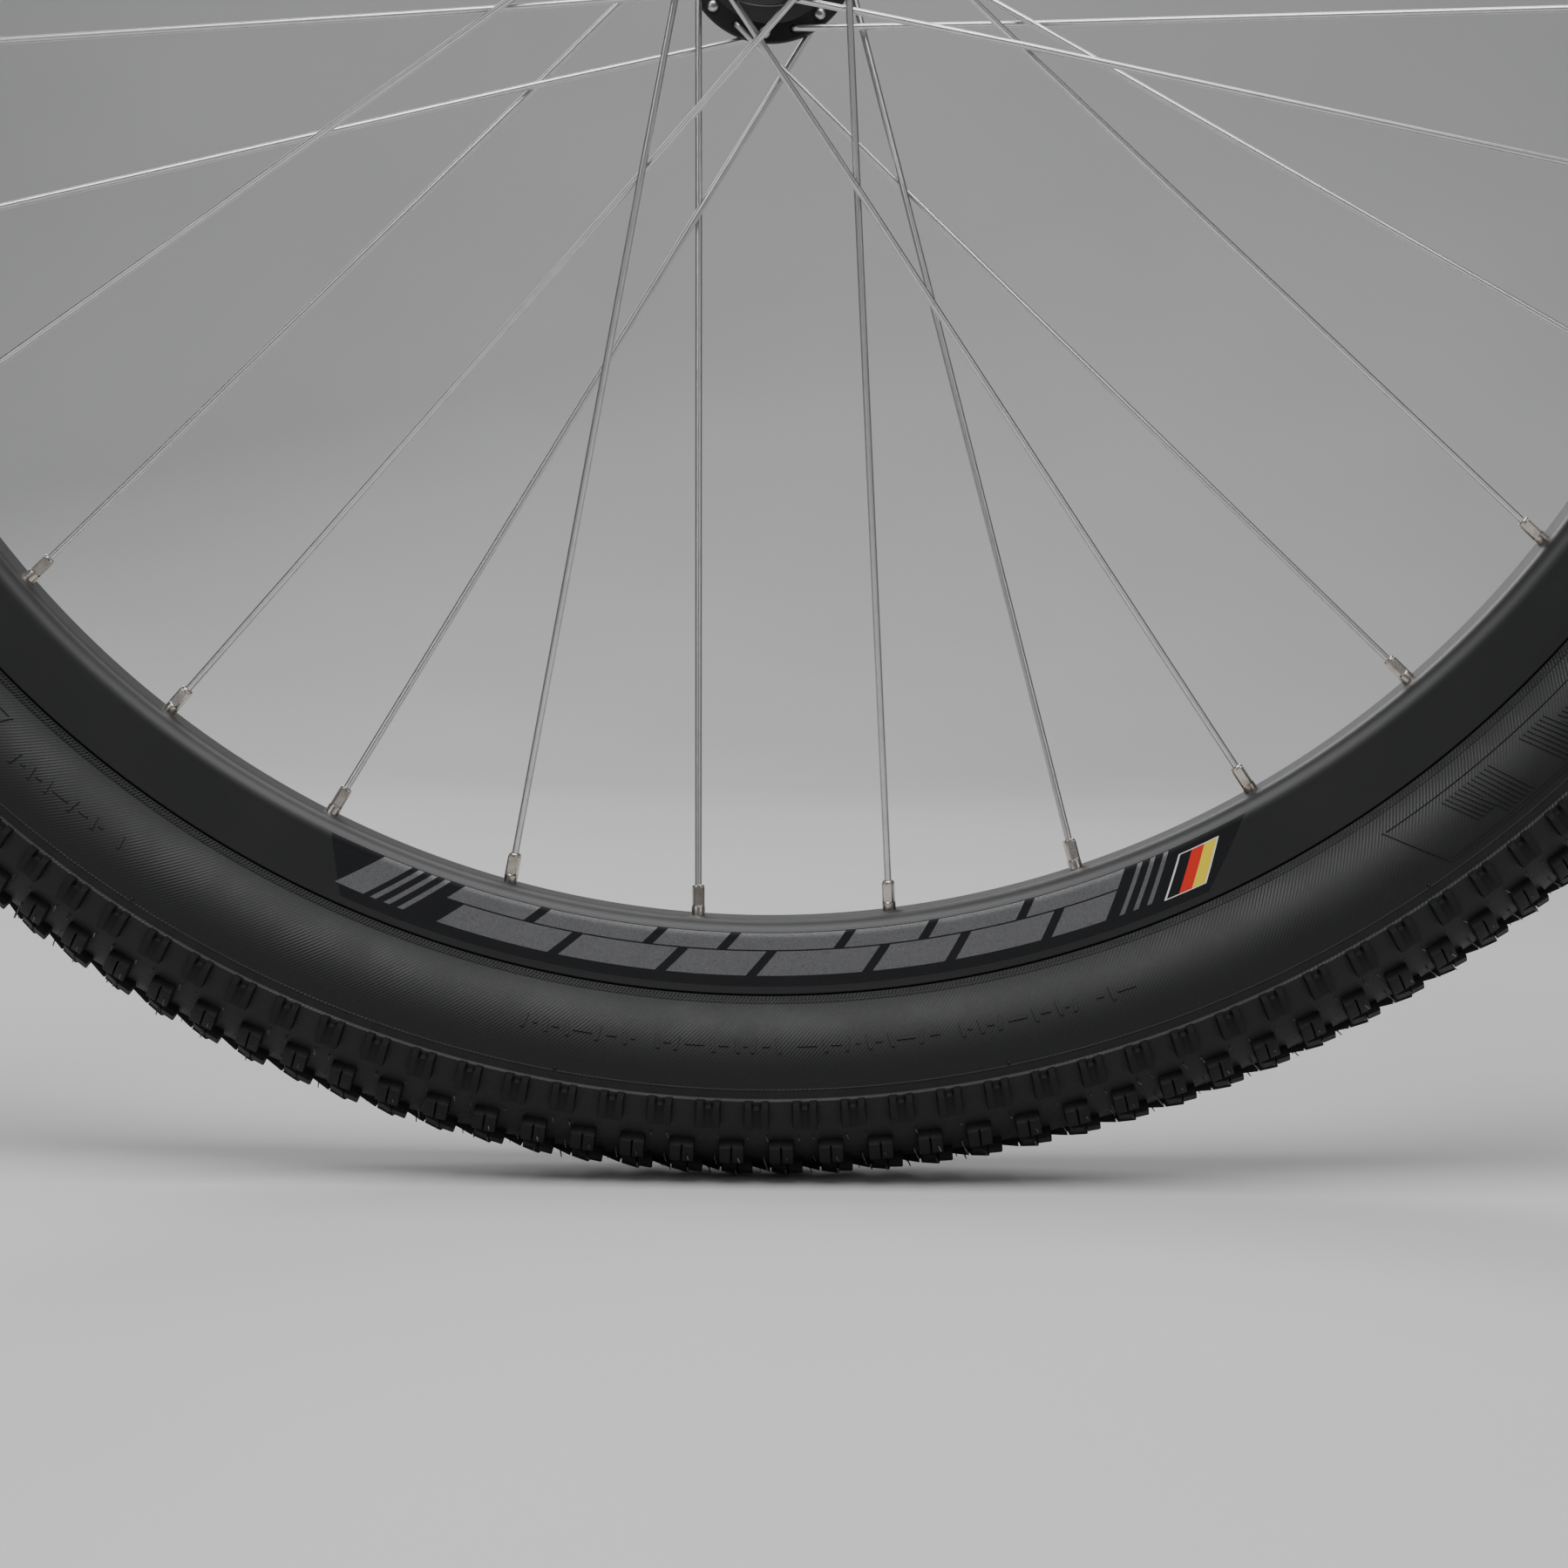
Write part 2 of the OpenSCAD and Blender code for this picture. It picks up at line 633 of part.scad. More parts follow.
module valve_stem() {
    pad_r = channel_r + tape_t + pad_t + 2 * fit_gap;
    color("#202020") at_angle(valve_a) difference() {
        union() {
            translate([0, 0, -pad_r]) cylinder(r = channel_half_w - 0.5, h = pad_t - fit_gap);
            translate([0, 0, -pad_r + 0.5]) cylinder(d = stem_d, h = pad_r - tip_r - thread_len - 0.5);
            translate([0, 0, -tip_r - thread_len - 1]) cylinder(d = stem_thread_d, h = thread_len + 1);
        }
        translate([0, 0, -pad_r - 1]) cylinder(r = 1.9, h = pad_r - tip_r + 2);
        translate([0, 0, -tip_r - core_len - 1]) cylinder(r = core_r + fit_gap / 2, h = core_len + 2);
    }
}

module valve_core() {
    seat_step = 1;
    color("goldenrod") at_angle(valve_a) translate([0, 0, -tip_r - core_len - seat_step]) difference() {
        union() {
            cylinder(r = core_r - 0.8, h = 2.5);
            translate([0, 0, 2]) cylinder(r = core_r, h = core_len - 2.5);
        }
        translate([0, 0, -1]) cylinder(r = pin_r + 0.05, h = core_len + 4);
        translate([0, 0, core_len - 0.5 - pin_travel - 0.3]) cylinder(r = pin_r + 0.5, h = pin_travel + 1);
    }
}

module valve_pin() {
    color("goldenrod") at_angle(valve_a) {
        translate([0, 0, -tip_r - core_len + 1]) cylinder(r = pin_r, h = core_len - 1.5);
        translate([0, 0, -tip_r - 1.2]) cylinder(r = pin_r + 0.2, h = 0.7);
    }
}

module valve_cap() {
    grips = 12;
    cap_fit = 0.08;
    color("#151515") at_angle(valve_a) translate([0, 0, -tip_r + 1.5 - cap_len + cap_fit]) difference() {
        union() {
            cylinder(r = cap_r, h = cap_len - 1);
            translate([0, 0, cap_len - 1]) cylinder(r1 = cap_r, r2 = cap_r - 1, h = 1);
        }
        translate([0, 0, -1]) cylinder(r = stem_thread_d / 2 + cap_fit, h = cap_len - 0.5);
        for (i = [0 : grips - 1])
            rotate([0, 0, i * 360 / grips]) translate([cap_r + 0.35, 0, 1.5]) cylinder(r = 0.8, h = cap_len);
    }
}

// ---- Quick release ----

module skewer_rod() {
    rod_from = pivot_y + eye_in - 0.6;
    color("silver") {
        on_axle() translate([0, 0, rod_from]) cylinder(r = skewer_r, h = clamp_y + nut_len + 1.5 - rod_from);
        difference() {
            on_axle() translate([0, 0, pivot_y - eye_out]) cylinder(r = eye_r, h = eye_in + eye_out);
            for (s = [-1, 1])
                translate([s * (eye_r + 2.8), pivot_y, 0]) cube([8, 30, 30], center = true);
            cam_slot();
        }
    }
}

// Slot in the skewer's eye: long enough for the cam to swing past without moving the rod sideways
module cam_slot() {
    slot_r = cam_r + 0.35;
    translate([0, pivot_y - cam_offset, 0]) rotate([0, 90, 0]) {
        translate([0, 0, -10]) cylinder(r = slot_r, h = 20);
        for (s = [-1, 1])
            translate([s * eye_slot, 0, -10]) cylinder(r = slot_r, h = 20);
        cube([2 * eye_slot, 2 * slot_r, 20], center = true);
    }
}

module cam_housing() {
    far_y = clamp_y + housing_len;
    color("#2a2a2c") difference() {
        on_axle() mirror([0, 0, 1]) rotate_extrude() polygon([
            [skewer_r + 0.3, clamp_y + spring_pocket], [spring_pocket_r, clamp_y + spring_pocket],
            [spring_pocket_r, clamp_y], [housing_r, clamp_y], [housing_r, far_y - 1.6],
            [housing_r - 1.6, far_y], [eye_r + 0.4, far_y], [eye_r + 0.4, clamp_y + spring_pocket + shelf_t],
            [skewer_r + 0.3, clamp_y + spring_pocket + shelf_t]
        ]);
        translate([0, pivot_y, 0]) rotate([0, 90, 0]) cylinder(r = lever_shaft_r + 0.05, h = 30, center = true);
    }
}

// Lever with its eccentric shaft: closed, it points up along the fork blade
module quick_release_lever() {
    journal_x = 6.45;
    cam_half = 7;
    color("#232325") {
        turned_x(-housing_r - 0.35, -journal_x, pivot_y, lever_shaft_r);
        turned_x(journal_x, cheek_x + 1, pivot_y, lever_shaft_r);
        turned_x(-cam_half, cam_half, pivot_y - cam_offset, cam_r);
        turned_x(cheek_x, cheek_x + arm_t, pivot_y, 8);
        lever_arm();
    }
}

module turned_x(from, to, y, r) {
    translate([from, y, 0]) rotate([0, 90, 0]) cylinder(r = r, h = to - from);
}

module lever_arm() {
    translate([cheek_x, pivot_y, 0]) rotate([90, 0, 90]) linear_extrude(height = arm_t)
        polygon([
            [-5.5, 5.5], [-3.5, arm_len * 0.5], [1, arm_len * 0.85], [3, arm_len],
            [9, arm_len], [8.5, arm_len * 0.75], [6.5, arm_len * 0.4], [5.5, 5.5]
        ]);
}

// Broad end of the lever that the hand pushes
module lever_grip() {
    grip_r = 8;
    grip_t = 6;
    color("#3a3a3d") translate([cheek_x + arm_t / 2, pivot_y + 6, arm_len]) difference() {
        union() {
            translate([-grip_r, -grip_t / 2, 0]) cube([2 * grip_r, grip_t, grip_len - grip_r]);
            translate([0, 0, grip_len - grip_r]) rotate([90, 0, 0])
                cylinder(r = grip_r, h = grip_t, center = true);
        }
        translate([0, -7.5, 10]) rotate([0, 90, 0]) cylinder(r = 6, h = 30, center = true);
    }
}

// Conical spring, narrow end towards the hub
module skewer_spring(side) {
    turns = 3;
    steps = 20 * turns;
    sides = 6;
    from_y = locknut_y + axle_end_len + 0.2 + wire_r;
    to_y = clamp_y + spring_pocket - wire_r - 0.1;
    function centre(i) = let (t = i / steps, r = skewer_r + 0.4 + wire_r + t * (spring_pocket_r - skewer_r - 1.2 - 2 * wire_r))
        [r * cos(360 * turns * t), from_y + (to_y - from_y) * t, r * sin(360 * turns * t)];
    function rim_point(i, j) = let (t = i / steps, a = 360 * turns * t, b = 360 * j / sides)
        centre(i) + wire_r * [cos(b) * cos(a), sin(b), cos(b) * sin(a)];
    points = [for (i = [0 : steps], j = [0 : sides - 1]) rim_point(i, j)];
    last = steps * sides;
    faces = concat(
        [[for (j = [0 : sides - 1]) j]],
        [[for (j = [sides - 1 : -1 : 0]) last + j]],
        [for (i = [0 : steps - 1], j = [0 : sides - 1])
            [i * sides + j, (i + 1) * sides + j, (i + 1) * sides + (j + 1) % sides, i * sides + (j + 1) % sides]]
    );
    color("silver") on_side(side) polyhedron(points = points, faces = faces);
}

module adjusting_nut() {
    color("#2a2a2c") on_axle() difference() {
        union() {
            translate([0, 0, clamp_y]) cylinder(r = nut_r, h = 5);
            translate([0, 0, clamp_y + 5]) cylinder(r1 = nut_r, r2 = nut_r - 1.8, h = nut_len - 5);
        }
        translate([0, 0, clamp_y - 1]) cylinder(r = spring_pocket_r - 0.4, h = spring_pocket + 1);
        translate([0, 0, clamp_y]) cylinder(r = skewer_r + 0.03, h = nut_len + 1);
        translate([0, 0, clamp_y + nut_len - 3]) cylinder(r = skewer_r + 1.6, h = 4);
        for (i = [0 : 7])
            rotate([0, 0, i * 45]) translate([nut_r + 1.2, 0, clamp_y + 5.5]) cylinder(r = 2.4, h = nut_len);
    }
}

// Nylon ring that grips the thread
module nut_insert() {
    color("ivory") on_axle() ring(skewer_r + 1.6, skewer_r + 0.03, clamp_y + nut_len - 3, clamp_y + nut_len - 0.6);
}

axle();
cone(LEFT);  // cone_left
cone(RIGHT);  // cone_right
spacer(LEFT);  // spacer_left
spacer(RIGHT);  // spacer_right
lock_washer(LEFT);  // lock_washer_left
lock_washer(RIGHT);  // lock_washer_right
locknut(LEFT);  // locknut_left
locknut(RIGHT);  // locknut_right
seal(LEFT);  // seal_left
seal(RIGHT);  // seal_right
balls(LEFT);  // balls_left
balls(RIGHT);  // balls_right
hub_shell();
cup(LEFT);  // cup_left
cup(RIGHT);  // cup_right
dust_cap(LEFT);  // dust_cap_left
dust_cap(RIGHT);  // dust_cap_right
spokes(LEFT, -1);  // spokes_left_leading
spokes(LEFT, 1);  // spokes_left_trailing
spokes(RIGHT, -1);  // spokes_right_leading
spokes(RIGHT, 1);  // spokes_right_trailing
nipples(LEFT);  // nipples_left
nipples(RIGHT);  // nipples_right
rim();
rim_joint_sleeve();
rim_tape();
inner_tube();
tyre_casing();
bead_wire(LEFT);  // bead_wire_left
bead_wire(RIGHT);  // bead_wire_right
tyre_tread();
valve_stem();
valve_core();
valve_pin();
valve_cap();
skewer_rod();
cam_housing();
quick_release_lever();
lever_grip();
skewer_spring(LEFT);  // skewer_spring_left
skewer_spring(RIGHT);  // skewer_spring_right
adjusting_nut();
nut_insert();
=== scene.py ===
import math

import bmesh
import bpy
import numpy as np
from mathutils import Matrix, Vector


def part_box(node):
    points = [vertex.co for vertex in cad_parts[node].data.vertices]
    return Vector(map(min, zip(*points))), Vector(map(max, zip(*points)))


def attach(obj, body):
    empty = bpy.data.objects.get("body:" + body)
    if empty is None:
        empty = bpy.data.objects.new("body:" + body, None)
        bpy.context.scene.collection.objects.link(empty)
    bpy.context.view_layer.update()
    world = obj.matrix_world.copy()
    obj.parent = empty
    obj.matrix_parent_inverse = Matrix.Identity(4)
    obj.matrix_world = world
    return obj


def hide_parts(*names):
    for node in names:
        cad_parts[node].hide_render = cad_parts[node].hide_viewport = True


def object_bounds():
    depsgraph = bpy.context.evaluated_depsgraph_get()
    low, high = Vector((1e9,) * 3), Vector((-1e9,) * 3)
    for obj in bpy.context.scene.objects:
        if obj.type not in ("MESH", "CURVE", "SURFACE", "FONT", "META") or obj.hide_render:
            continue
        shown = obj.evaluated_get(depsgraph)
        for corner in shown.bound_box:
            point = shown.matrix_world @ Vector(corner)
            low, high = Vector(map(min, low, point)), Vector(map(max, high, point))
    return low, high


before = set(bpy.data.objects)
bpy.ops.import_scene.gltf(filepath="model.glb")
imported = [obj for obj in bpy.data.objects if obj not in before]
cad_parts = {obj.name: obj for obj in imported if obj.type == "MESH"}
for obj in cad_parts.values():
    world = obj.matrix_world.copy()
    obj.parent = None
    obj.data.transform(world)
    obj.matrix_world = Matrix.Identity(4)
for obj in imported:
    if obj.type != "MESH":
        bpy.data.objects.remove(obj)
cad_low, cad_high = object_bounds()

# ---- Sizes, in millimetres. The wheel's axle is Y; angles go from straight down towards +X ----

MM = 0.001


def cad_size(node):
    """The highest corner of a CAD node's box, in millimetres."""
    return [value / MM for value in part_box(node)[1]]


# Rim
FLANGE_R, HALF_W = cad_size("rim")[0:2]
RIM_DEPTH = 21.0
FLANGE_HEIGHT = 6.0
WALL_LEAN = 1.4
LIP_R = 0.8
SEAT_R = FLANGE_R - FLANGE_HEIGHT
BED_R = FLANGE_R - RIM_DEPTH
BED_CORNER = 6.0
BED_HALF_W = HALF_W - WALL_LEAN - BED_CORNER
WALL_TOP_R = BED_R + BED_CORNER
WALL_TOP_Y = BED_HALF_W + BED_CORNER
WALL_END_R = FLANGE_R - 0.9
INNER_HALF_W = HALF_W - 1.6
CHANNEL_R = SEAT_R - 4.5
CHANNEL_HALF_W = 6.0

# Tyre
FIT_GAP = 0.1
CROWN_R, SECTION_R = cad_size("tyre_casing")[0:2]
CENTRE_R = CROWN_R - SECTION_R
BEAD_HALF_W = INNER_HALF_W - 1.0
CASING_WALL = 1.6
TREAD_BASE = 0.8
KNOB_ROWS = 154
ROW_TURN = math.tau / KNOB_ROWS

# Spokes
SPOKES = 32
SPOKES_ALIKE = SPOKES // 4
NIPPLE_PITCH = 360.0 / SPOKES
FIRST_NIPPLE = -48.6
CROSS_TURN = math.radians(6 * NIPPLE_PITCH)
HOLE_R = 22.0
FLANGE_T = 3.0
SPOKE_R = 1.0
ELBOW_R = 1.5
FLANGE_Y = {-1: 22.1, 1: 33.8}
SPOKE_RUN = math.sqrt(HOLE_R**2 + BED_R**2 - 2 * HOLE_R * BED_R * math.cos(CROSS_TURN))
TANGENT_R = HOLE_R * BED_R * math.sin(CROSS_TURN) / SPOKE_RUN
OUTER_CROSS_R = TANGENT_R / math.sin(math.asin(TANGENT_R / BED_R) + math.radians(NIPPLE_PITCH))
CROSS_RUN = math.sqrt(OUTER_CROSS_R**2 - TANGENT_R**2) - math.sqrt(HOLE_R**2 - TANGENT_R**2)
SPOKE_LIE = FLANGE_T / 2 + SPOKE_R + FIT_GAP / 2
CROSS_LIE = SPOKE_R + FIT_GAP / 2


def on_wheel(r, angle, y):
    """A point at a radius and an angle in degrees."""
    a = math.radians(angle)
    return (r * math.sin(a), y, -r * math.cos(a))


# ---- Materials: shader maths as Python expressions ----


class Wire:
    """A shader socket. Arithmetic on it adds Math nodes."""

    def __init__(self, finish, socket):
        self.finish = finish
        self.socket = socket

    def math(self, operation, *others):
        node = self.finish.node(
            "ShaderNodeMath", {"operation": operation}, dict(enumerate((self, *others)))
        )
        return self.finish.out(node)

    def __add__(self, other):
        return self.math("ADD", other)

    def __radd__(self, other):
        return self.math("ADD", other)

    def __sub__(self, other):
        return self.math("SUBTRACT", other)

    def __rsub__(self, other):
        return (self * -1.0).math("ADD", other)

    def __mul__(self, other):
        return self.math("MULTIPLY", other)

    def __rmul__(self, other):
        return self.math("MULTIPLY", other)

    def sin(self):
        return self.math("SINE")

    def between(self, low, high):
        """0 below low, 1 above high, smooth between them."""
        node = self.finish.node(
            "ShaderNodeMapRange",
            {"interpolation_type": "SMOOTHSTEP"},
            {0: self, 1: low, 2: high, 3: 0.0, 4: 1.0},
        )
        return self.finish.out(node)


class Finish:
    """One material, with its nodes made by one method."""

    def __init__(self, name, **constants):
        self.material = bpy.data.materials.new(name)
        self.material.use_nodes = True
        self.tree = self.material.node_tree
        self.shader = self.tree.nodes["Principled BSDF"]
        for socket, value in constants.items():
            self.set(self.shader, socket.replace("_", " "), value)
        self.material.diffuse_color = constants.get("Base_Color", (0.5, 0.5, 0.5, 1.0))

    def node(self, kind, settings=None, sockets=None):
        node = self.tree.nodes.new(kind)
        for name, value in (settings or {}).items():
            setattr(node, name, value)
        for key, value in (sockets or {}).items():
            self.set(node, key, value)
        return node

    def set(self, node, key, value):
        socket = node.inputs[key]
        if isinstance(value, Wire):
            self.tree.links.new(value.socket, socket)
        elif isinstance(value, bpy.types.NodeSocket):
            self.tree.links.new(value, socket)
        else:
            socket.default_value = value

    def out(self, node, key=0):
        return Wire(self, node.outputs[key])

    def coordinates(self):
        """Object coordinates in millimetres, as a vector socket."""
        place = self.node("ShaderNodeTexCoord")
        scaled = self.node(
            "ShaderNodeVectorMath",
            {"operation": "SCALE"},
            {0: place.outputs["Object"], "Scale": 1 / MM},
        )
        return scaled.outputs[0]

    def split(self, vector):
        parts = self.node("ShaderNodeSeparateXYZ", None, {0: vector})
        return [self.out(parts, i) for i in range(3)]

    def join(self, x, y, z):
        return self.node("ShaderNodeCombineXYZ", None, {0: x, 1: y, 2: z}).outputs[0]

    def polar(self):
        """Turn in radians, radius and sideways place in millimetres, about the axle."""
        x, y, z = self.split(self.coordinates())
        turn = x.math("ARCTAN2", z * -1.0)
        radius = (x * x + z * z).math("SQRT")
        return turn, radius, y

    def noise(self, scale, detail, rough=0.5, vector=None):
        node = self.node(
            "ShaderNodeTexNoise",
            None,
            {
                "Vector": vector or self.coordinates(),
                "Scale": scale,
                "Detail": detail,
                "Roughness": rough,
            },
        )
        return self.out(node, "Fac" if "Fac" in node.outputs else 0)

    def cells(self, scale):
        node = self.node(
            "ShaderNodeTexVoronoi", None, {"Vector": self.coordinates(), "Scale": scale}
        )
        return self.out(node, "Distance")

    def mix(self, factor, first, second):
        node = self.node(
            "ShaderNodeMix", {"data_type": "RGBA"}, {0: factor, 6: first, 7: second}
        )
        return self.out(node, 2)

    def colour(self, wire):
        self.set(self.shader, "Base Color", wire)

    def rough(self, wire):
        self.set(self.shader, "Roughness", wire)

    def metal(self, wire):
        self.set(self.shader, "Metallic", wire)

    def bump(self, height, depth, strength):
        """Height in 0 to 1, depth in millimetres."""
        node = self.node(
            "ShaderNodeBump", None, {"Strength": strength, "Distance": depth * MM, "Height": height}
        )
        self.set(self.shader, "Normal", node.outputs[0])


def grey(value, warmth=0.0):
    """A grey whose red and blue lean apart by a share."""
    return (value * (1 + warmth), value, value * (1 - warmth), 1.0)


def sidewall_rubber():
    """Black rubber over diagonal casing threads, with pale scuffs, and a painted sheen: the
    rubber's colour is lighter towards the bead.
    """
    f = Finish("sidewall_rubber", IOR=1.5, Specular_IOR_Level=0.36)
    turn, radius, y = f.polar()
    threads = 1686
    lean = 5.35
    weave = (turn * threads + radius * lean).sin() * 0.5 + 0.5
    broad = f.noise(0.035, 4.0, 0.6)
    fine = f.noise(1.4, 3.0, 0.6)
    patches = broad.between(0.38, 0.66)
    # Painted sheen: this band lightens the rubber's colour, fully up to 300 mm and fading out by
    # 318 mm. It also gathers the pale scuffs near the bead.
    bead_sheen_and_scuffs = 1.0 - radius.between(300.0, 318.0)
    scuffs = fine.between(0.58, 0.74) * patches * bead_sheen_and_scuffs.math("MAXIMUM", 0.2)
    # Painted sheen: the near-black body is mixed up to a lighter grey towards the bead.
    body = f.mix(bead_sheen_and_scuffs * 0.7, grey(0.0052, -0.03), grey(0.0115, -0.04))
    f.colour(f.mix(scuffs * 0.4, body, grey(0.06, -0.03)))
    f.rough(0.5 + 0.14 * fine - 0.08 * patches)
    f.bump(weave * (0.3 + 0.5 * patches) + fine * 0.4, 0.09, 0.7)
    return f.material


def knob_rubber():
    """Harder tread rubber: greyer on the faces that stand proud, with a fine mould grain."""
    f = Finish("tread_rubber", IOR=1.5, Specular_IOR_Level=0.2)
    turn, radius, y = f.polar()
    from_centre = radius - CENTRE_R
    height = (from_centre * from_centre + y * y).math("SQRT") - SECTION_R
    proud = height.between(1.6, 3.2)
    grain = f.noise(2.2, 4.0, 0.65)
    broad = f.noise(0.09, 2.0)
    dust = f.noise(0.6, 5.0, 0.7).between(0.55, 0.75) * (1.0 - proud)
    worn = f.mix(proud * (0.45 + 0.4 * broad), grey(0.0045, -0.02), grey(0.0135, -0.03))
    f.colour(f.mix(dust * 0.2, worn, grey(0.03, 0.03)))
    f.rough(0.62 + 0.2 * grain - 0.12 * proud)
    f.bump(grain, 0.09, 0.6)
    return f.material


def hair_rubber():
    """Thin rubber with pale worn specks."""
    f = Finish("moulding_hairs", IOR=1.5)
    speck = f.noise(1.2, 2.0)
    f.colour(f.mix(speck.between(0.35, 0.7), grey(0.02), grey(0.16, -0.01)))
    f.rough(0.32 + 0.2 * speck)
    return f.material


def satin_black_alloy(name, base, rough):
    """Blasted and anodised aluminium: a soft wide highlight with faint drawing lines."""
    f = Finish(name, IOR=1.55, Specular_IOR_Level=0.5)
    turn, radius, y = f.polar()
    blast = f.noise(5.5, 3.0, 0.6)
    drawn = f.noise(1.0, 3.0, 0.5, f.join(turn * 3.0, radius * 2.2, y * 2.2))
    cloud = f.noise(0.03, 3.0)
    f.colour(f.mix(cloud.between(0.3, 0.7), grey(base, -0.02), grey(base * 1.45, -0.01)))
    f.rough(rough + 0.1 * blast + 0.07 * drawn)
    f.metal(0.12 + 0.1 * cloud)
    f.bump(blast * 0.6 + drawn * 0.4, 0.045, 0.55)
    return f.material


def metal_finish(name, light, warmth, rough, grain, tarnish):
    """Bare or plated metal: grain along the radius, faint tarnish in clouds."""
    f = Finish(name, Metallic=1.0, IOR=1.5)
    turn, radius, y = f.polar()
    along = f.noise(1.0, 3.0, 0.55, f.join(turn * radius * 4.0, radius * 0.16, y * 4.0))
    cloud = f.noise(0.22, 4.0, 0.6)
    pits = f.noise(6.0, 2.0)
    stained = grey(light * 0.55, warmth * 2.2)
    f.colour(f.mix(cloud.between(0.4, 0.75) * tarnish, grey(light, warmth), stained))
    f.rough(rough + 0.12 * along + 0.1 * cloud)
    f.bump(along * 0.7 + pits * 0.3, grain, 0.5)
    return f.material


def plastic_finish(name, light, warmth, rough, rubbery=False):
    """Moulded plastic or soft rubber with a spark-eroded grain."""
    f = Finish(name, IOR=1.48, Specular_IOR_Level=0.35 if rubbery else 0.5)
    grain = f.cells(2.6)
    cloud = f.noise(0.2, 3.0)
    speck = f.noise(3.2, 3.0, 0.6)
    faded = grey(light * 1.4 + 0.004, warmth)
    f.colour(f.mix(cloud.between(0.35, 0.7), grey(light, warmth), faded))
    f.rough(rough + 0.16 * speck)
    f.bump(grain * 0.6 + speck * 0.4, 0.06, 0.5)
    return f.material


def ink_finish(name, colour, rough, metallic=0.0, flake=0.0, coat=0.5):
    """Printed ink under a clear film, with metal flakes where it is silver."""
    f = Finish(name, Metallic=metallic, Coat_Weight=coat, Coat_Roughness=0.08)
    dots = f.noise(9.0, 2.0, 0.7)
    cloud = f.noise(0.12, 2.0)
    dark = tuple(c * (1 - 0.75 * flake) for c in colour[:3]) + (1.0,)
    light = tuple(min(1.0, c * (1 + 0.5 * flake)) for c in colour[:3]) + (1.0,)
    f.colour(f.mix(dots.between(0.38, 0.62), dark, light))
    f.rough(rough + 0.08 * cloud + 0.12 * flake * dots)
    f.bump(dots, 0.02, 0.3 + flake * 0.5)
    return f.material


SIDEWALL = sidewall_rubber()
TREAD = knob_rubber()
HAIRS = hair_rubber()
RIM_BLACK = satin_black_alloy("rim_black", 0.0075, 0.33)
HUB_BLACK = satin_black_alloy("hub_black", 0.014, 0.26)
DECAL_BLACK = ink_finish("decal_black", (0.004, 0.004, 0.0045, 1.0), 0.2)
DECAL_SILVER = ink_finish("decal_silver", (0.2, 0.2, 0.205, 1.0), 0.4, 1.0, 0.8, 0.15)
DECAL_GREY = ink_finish("decal_grey", (0.022, 0.022, 0.024, 1.0), 0.4, 0.3, 0.4, 0.25)
DECAL_WHITE = ink_finish("decal_white", (0.72, 0.72, 0.7, 1.0), 0.3)
DECAL_RED = ink_finish("decal_red", (0.62, 0.018, 0.006, 1.0), 0.3)
DECAL_YELLOW = ink_finish("decal_yellow", (0.76, 0.58, 0.02, 1.0), 0.3)
SPOKE_STEEL = metal_finish("spoke_steel", 0.6, 0.015, 0.2, 0.025, 0.25)
NIPPLE_PLATE = metal_finish("nipple_plate", 0.5, 0.09, 0.16, 0.05, 0.75)
BALL_STEEL = metal_finish("ball_steel", 0.66, 0.0, 0.06, 0.005, 0.1)
TURNED_STEEL = metal_finish("turned_steel", 0.5, 0.01, 0.24, 0.03, 0.4)
ZINC_STEEL = metal_finish("zinc_steel", 0.56, -0.02, 0.32, 0.04, 0.5)
BRASS = metal_finish("brass", 0.55, 0.33, 0.28, 0.03, 0.4)
BARE_ALLOY = metal_finish("bare_alloy", 0.58, 0.0, 0.4, 0.04, 0.3)
CAST_BLACK = satin_black_alloy("cast_black", 0.016, 0.3)
CAP_PLASTIC = plastic_finish("cap_plastic", 0.012, 0.0, 0.42)
GRIP_PLASTIC = plastic_finish("grip_plastic", 0.018, 0.0, 0.5)
NYLON = plastic_finish("nylon", 0.62, 0.05, 0.45)
TAPE = plastic_finish("tape", 0.3, 0.5, 0.5)
SEAL_RUBBER = plastic_finish("seal_rubber", 0.01, 0.0, 0.55, True)
STEM_RUBBER = plastic_finish("stem_rubber", 0.011, 0.0, 0.5, True)
TUBE_RUBBER = plastic_finish("tube_rubber", 0.016, 0.0, 0.6, True)


def pair(name):
    return [f"{name}_left", f"{name}_right"]


CAD_FINISHES = (
    (TURNED_STEEL, ["axle", "skewer_rod"] + pair("cone")),
    (BARE_ALLOY, ["rim_joint_sleeve"] + pair("spacer")),
    (ZINC_STEEL, pair("lock_washer") + pair("locknut") + pair("bead_wire") + pair("skewer_spring")),
    (BALL_STEEL, pair("balls") + pair("cup")),
    (BRASS, ["valve_core", "valve_pin"]),
    (HUB_BLACK, ["hub_shell"]),
    (CAST_BLACK, ["cam_housing", "quick_release_lever", "adjusting_nut"] + pair("dust_cap")),
    (GRIP_PLASTIC, ["lever_grip"]),
    (CAP_PLASTIC, ["valve_cap"]),
    (NYLON, ["nut_insert"]),
    (TAPE, ["rim_tape"]),
    (SEAL_RUBBER, pair("seal")),
    (STEM_RUBBER, ["valve_stem"]),
    (TUBE_RUBBER, ["inner_tube"]),
)
for cad_finish, node_names in CAD_FINISHES:
    for node_name in node_names:
        cad_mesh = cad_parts[node_name].data
        cad_mesh.materials.clear()
        cad_mesh.materials.append(cad_finish)

# ---- Meshes gathered in millimetres ----

WELD = 0.002 * MM


